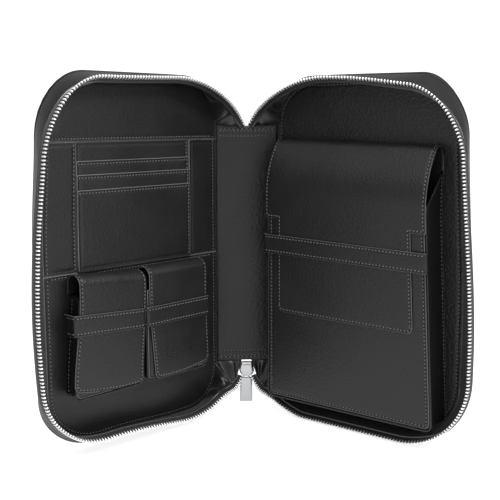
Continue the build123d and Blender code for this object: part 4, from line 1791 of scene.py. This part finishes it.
TAB_HALF, TAB_HEAD, TAB_END = 4.7, -100.4, -119.3
TAB_BACK, TAB_FRONT = 4.1, 2.5
LOOP_HALF, LOOP_END = 2.1, -100.9
tab_flat = outline(-TAB_HALF, TAB_HALF, TAB_END, TAB_HEAD, (0.8, 0.8, 1.4, 1.4))
loops = []
for pull_x, pull_z, y in (
    (0.5, 0.3, TAB_BACK),
    (0.0, 0.0, TAB_BACK - 0.3),
    (0.0, 0.0, TAB_FRONT + 0.75),
    (0.12, 0.1, TAB_FRONT + 0.65),
    (1.35, 0.35, TAB_FRONT + 0.06),
    (1.55, 0.5, TAB_FRONT),
    (2.2, 1.2, TAB_FRONT + 0.02),
):
    x = tab_flat[:, 0] * (TAB_HALF - pull_x) / TAB_HALF
    middle = (TAB_HEAD + TAB_END) / 2
    half = (TAB_HEAD - TAB_END) / 2
    z = middle + (tab_flat[:, 1] - middle) * (half - pull_z) / half
    loops.append(upright_ring(x, y, z))
tab = rings("pull_tab_plate", loops, nickel, "pull_tab")
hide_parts("pull_tab")
turn = np.linspace(0, math.pi, 30)
neck_x = np.concatenate([[LOOP_HALF], LOOP_HALF * np.cos(turn), [-LOOP_HALF]])
neck_z = np.concatenate([[LOOP_END], -93.6 + 2.0 * np.sin(turn), [LOOP_END]])
neck = evenly(upright_ring(neck_x, 3.3, neck_z), 60)
tangent = unit(np.gradient(neck, axis=0))
backward = np.tile([0.0, 1.0, 0.0], (len(neck), 1))
bar = tube_section(0, 0, 0.6, 0.65, 14)
loop_bar = sweep("pull_tab_loop", neck, backward, np.cross(tangent, backward), bar, nickel)
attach(loop_bar, "pull_tab")

# %% [markdown]
# ## Soft pieces
#
# The satin linings are cloth, sewn in with more length than the wall has, so they are held
# gathered.  Each one's flat size is its mean height by its length round the cover.  The zip
# tapes are woven too.

def strip_size(grid):
    """Length along the middle of a grid strip and its mean height, in metres."""
    middle = grid[:, grid.shape[1] // 2]
    length = np.linalg.norm(np.diff(middle, axis=0), axis=1).sum()
    height = np.linalg.norm(np.diff(grid, axis=1), axis=2).sum(axis=1).mean()
    return length * TO_METRES, height * TO_METRES


for side in (LEFT, RIGHT):
    liner, cloth = cloth_pieces[side]
    length, height = strip_size(cloth)
    print(NAMES[side], "lining strip: %.0f x %.1f mm" % (length / TO_METRES, height / TO_METRES))

# %% [markdown]
# ## Floor, light and camera
#
# The case stands on white paper under a large soft light, as in a catalogue.  Black satin
# leather shows its form only by what it reflects, so the sky is brightest high in front and
# falls off to the sides and the back, where the folds go dark.  A bright band at the horizon
# joins the paper to the sky.  Three square panels, above, right and left, give the highlights.

# %% Stage
def floor_sheet():
    """White paper that lies flat and curves up far behind."""
    profile = [(-6.0, 0.0), (2.5, 0.0)]
    for t in np.linspace(0.1, math.pi / 2, 16):
        profile.append((2.5 + 1.5 * math.sin(t), 1.5 - 1.5 * math.cos(t)))
    profile += [(4.0, 4.5)]
    points, faces = [], []
    for y, z in profile:
        points += [(x / TO_METRES, y / TO_METRES, z / TO_METRES) for x in (-7.0, 7.0)]
    for k in range(len(profile) - 1):
        faces.append((2 * k, 2 * k + 1, 2 * k + 3, 2 * k + 2))
    return build("paper_floor", points, faces, paper, None)


paper = plain("white_matt_paper", "#a8a8a8", 0.9, grain_mm=4.0, depth=0.01)
paper_shader = next(n for n in paper.node_tree.nodes if n.type == "BSDF_PRINCIPLED")
set_inputs(paper.node_tree, paper_shader, Emission_Color=linear("#ffffff"), Emission_Strength=0.84)
floor_sheet()

SKY_LOW, SKY_HIGH = 0.1, 1.1
world_light = bpy.data.worlds.new("bright_dome")
bpy.context.scene.world = world_light
world_light.use_nodes = True
sky = world_light.node_tree
sky.nodes.clear()
toward = node(sky, "ShaderNodeTexCoord").outputs["Generated"]
to_brightest = tuple(unit((0.15, -0.42, 0.9)))
facing = node(
    sky, "ShaderNodeVectorMath", {0: toward, 1: to_brightest}, operation="DOT_PRODUCT"
).outputs["Value"]
glow = node(
    sky,
    "ShaderNodeMapRange",
    {"Value": facing, "From Min": 0.1, "From Max": 1.0, "To Min": SKY_LOW, "To Max": SKY_HIGH},
    interpolation_type="SMOOTHSTEP",
).outputs["Result"]
view_height = node(sky, "ShaderNodeSeparateXYZ", {"Vector": toward}).outputs["Z"]
horizon = node(
    sky,
    "ShaderNodeMapRange",
    {"Value": view_height, "From Min": 0.05, "From Max": 0.18, "To Min": 1.05, "To Max": 0.0},
    interpolation_type="SMOOTHSTEP",
).outputs["Result"]
strength = node(sky, "ShaderNodeMath", {0: glow, 1: horizon}, operation="MAXIMUM").outputs["Value"]
sky_light = node(sky, "ShaderNodeBackground", {"Color": linear("#ffffff"), "Strength": strength})
node(sky, "ShaderNodeOutputWorld", {"Surface": sky_light.outputs["Background"]})


def area_light(name, place, target, size, watts):
    """A square soft light aimed at a target, in metres."""
    light = bpy.data.lights.new(name, "AREA")
    light.shape = "SQUARE"
    light.size = size
    light.energy = watts
    holder = bpy.data.objects.new(name, light)
    bpy.context.scene.collection.objects.link(holder)
    holder.location = place
    holder.rotation_euler = (Vector(target) - Vector(place)).to_track_quat("-Z", "Y").to_euler()


for name, place, watts in (
    ("overhead_panel", (0.05, -0.25, 1.0), 5.0),
    ("right_panel", (0.8, -0.55, 0.9), 9.0),
    ("left_panel", (-0.7, -0.6, 0.9), 1.6),
):
    area_light(name, place, (0.0, 0.0, 0.12), 0.45, watts)

# %% Camera
CAMERA_PLACE = (-0.0497, -0.5513, 0.2099)
CAMERA_YAW, CAMERA_DIP = math.radians(4.9), math.radians(8.7)
lens_data = bpy.data.cameras.new("camera")
lens_data.lens = 61.2
lens_data.sensor_width = 36.0
camera = bpy.data.objects.new("camera", lens_data)
bpy.context.scene.collection.objects.link(camera)
camera.location = CAMERA_PLACE
camera.rotation_euler = (math.pi / 2 - CAMERA_DIP, 0.0, -CAMERA_YAW)
bpy.context.scene.camera = camera
bpy.context.scene.view_settings.view_transform = "Standard"
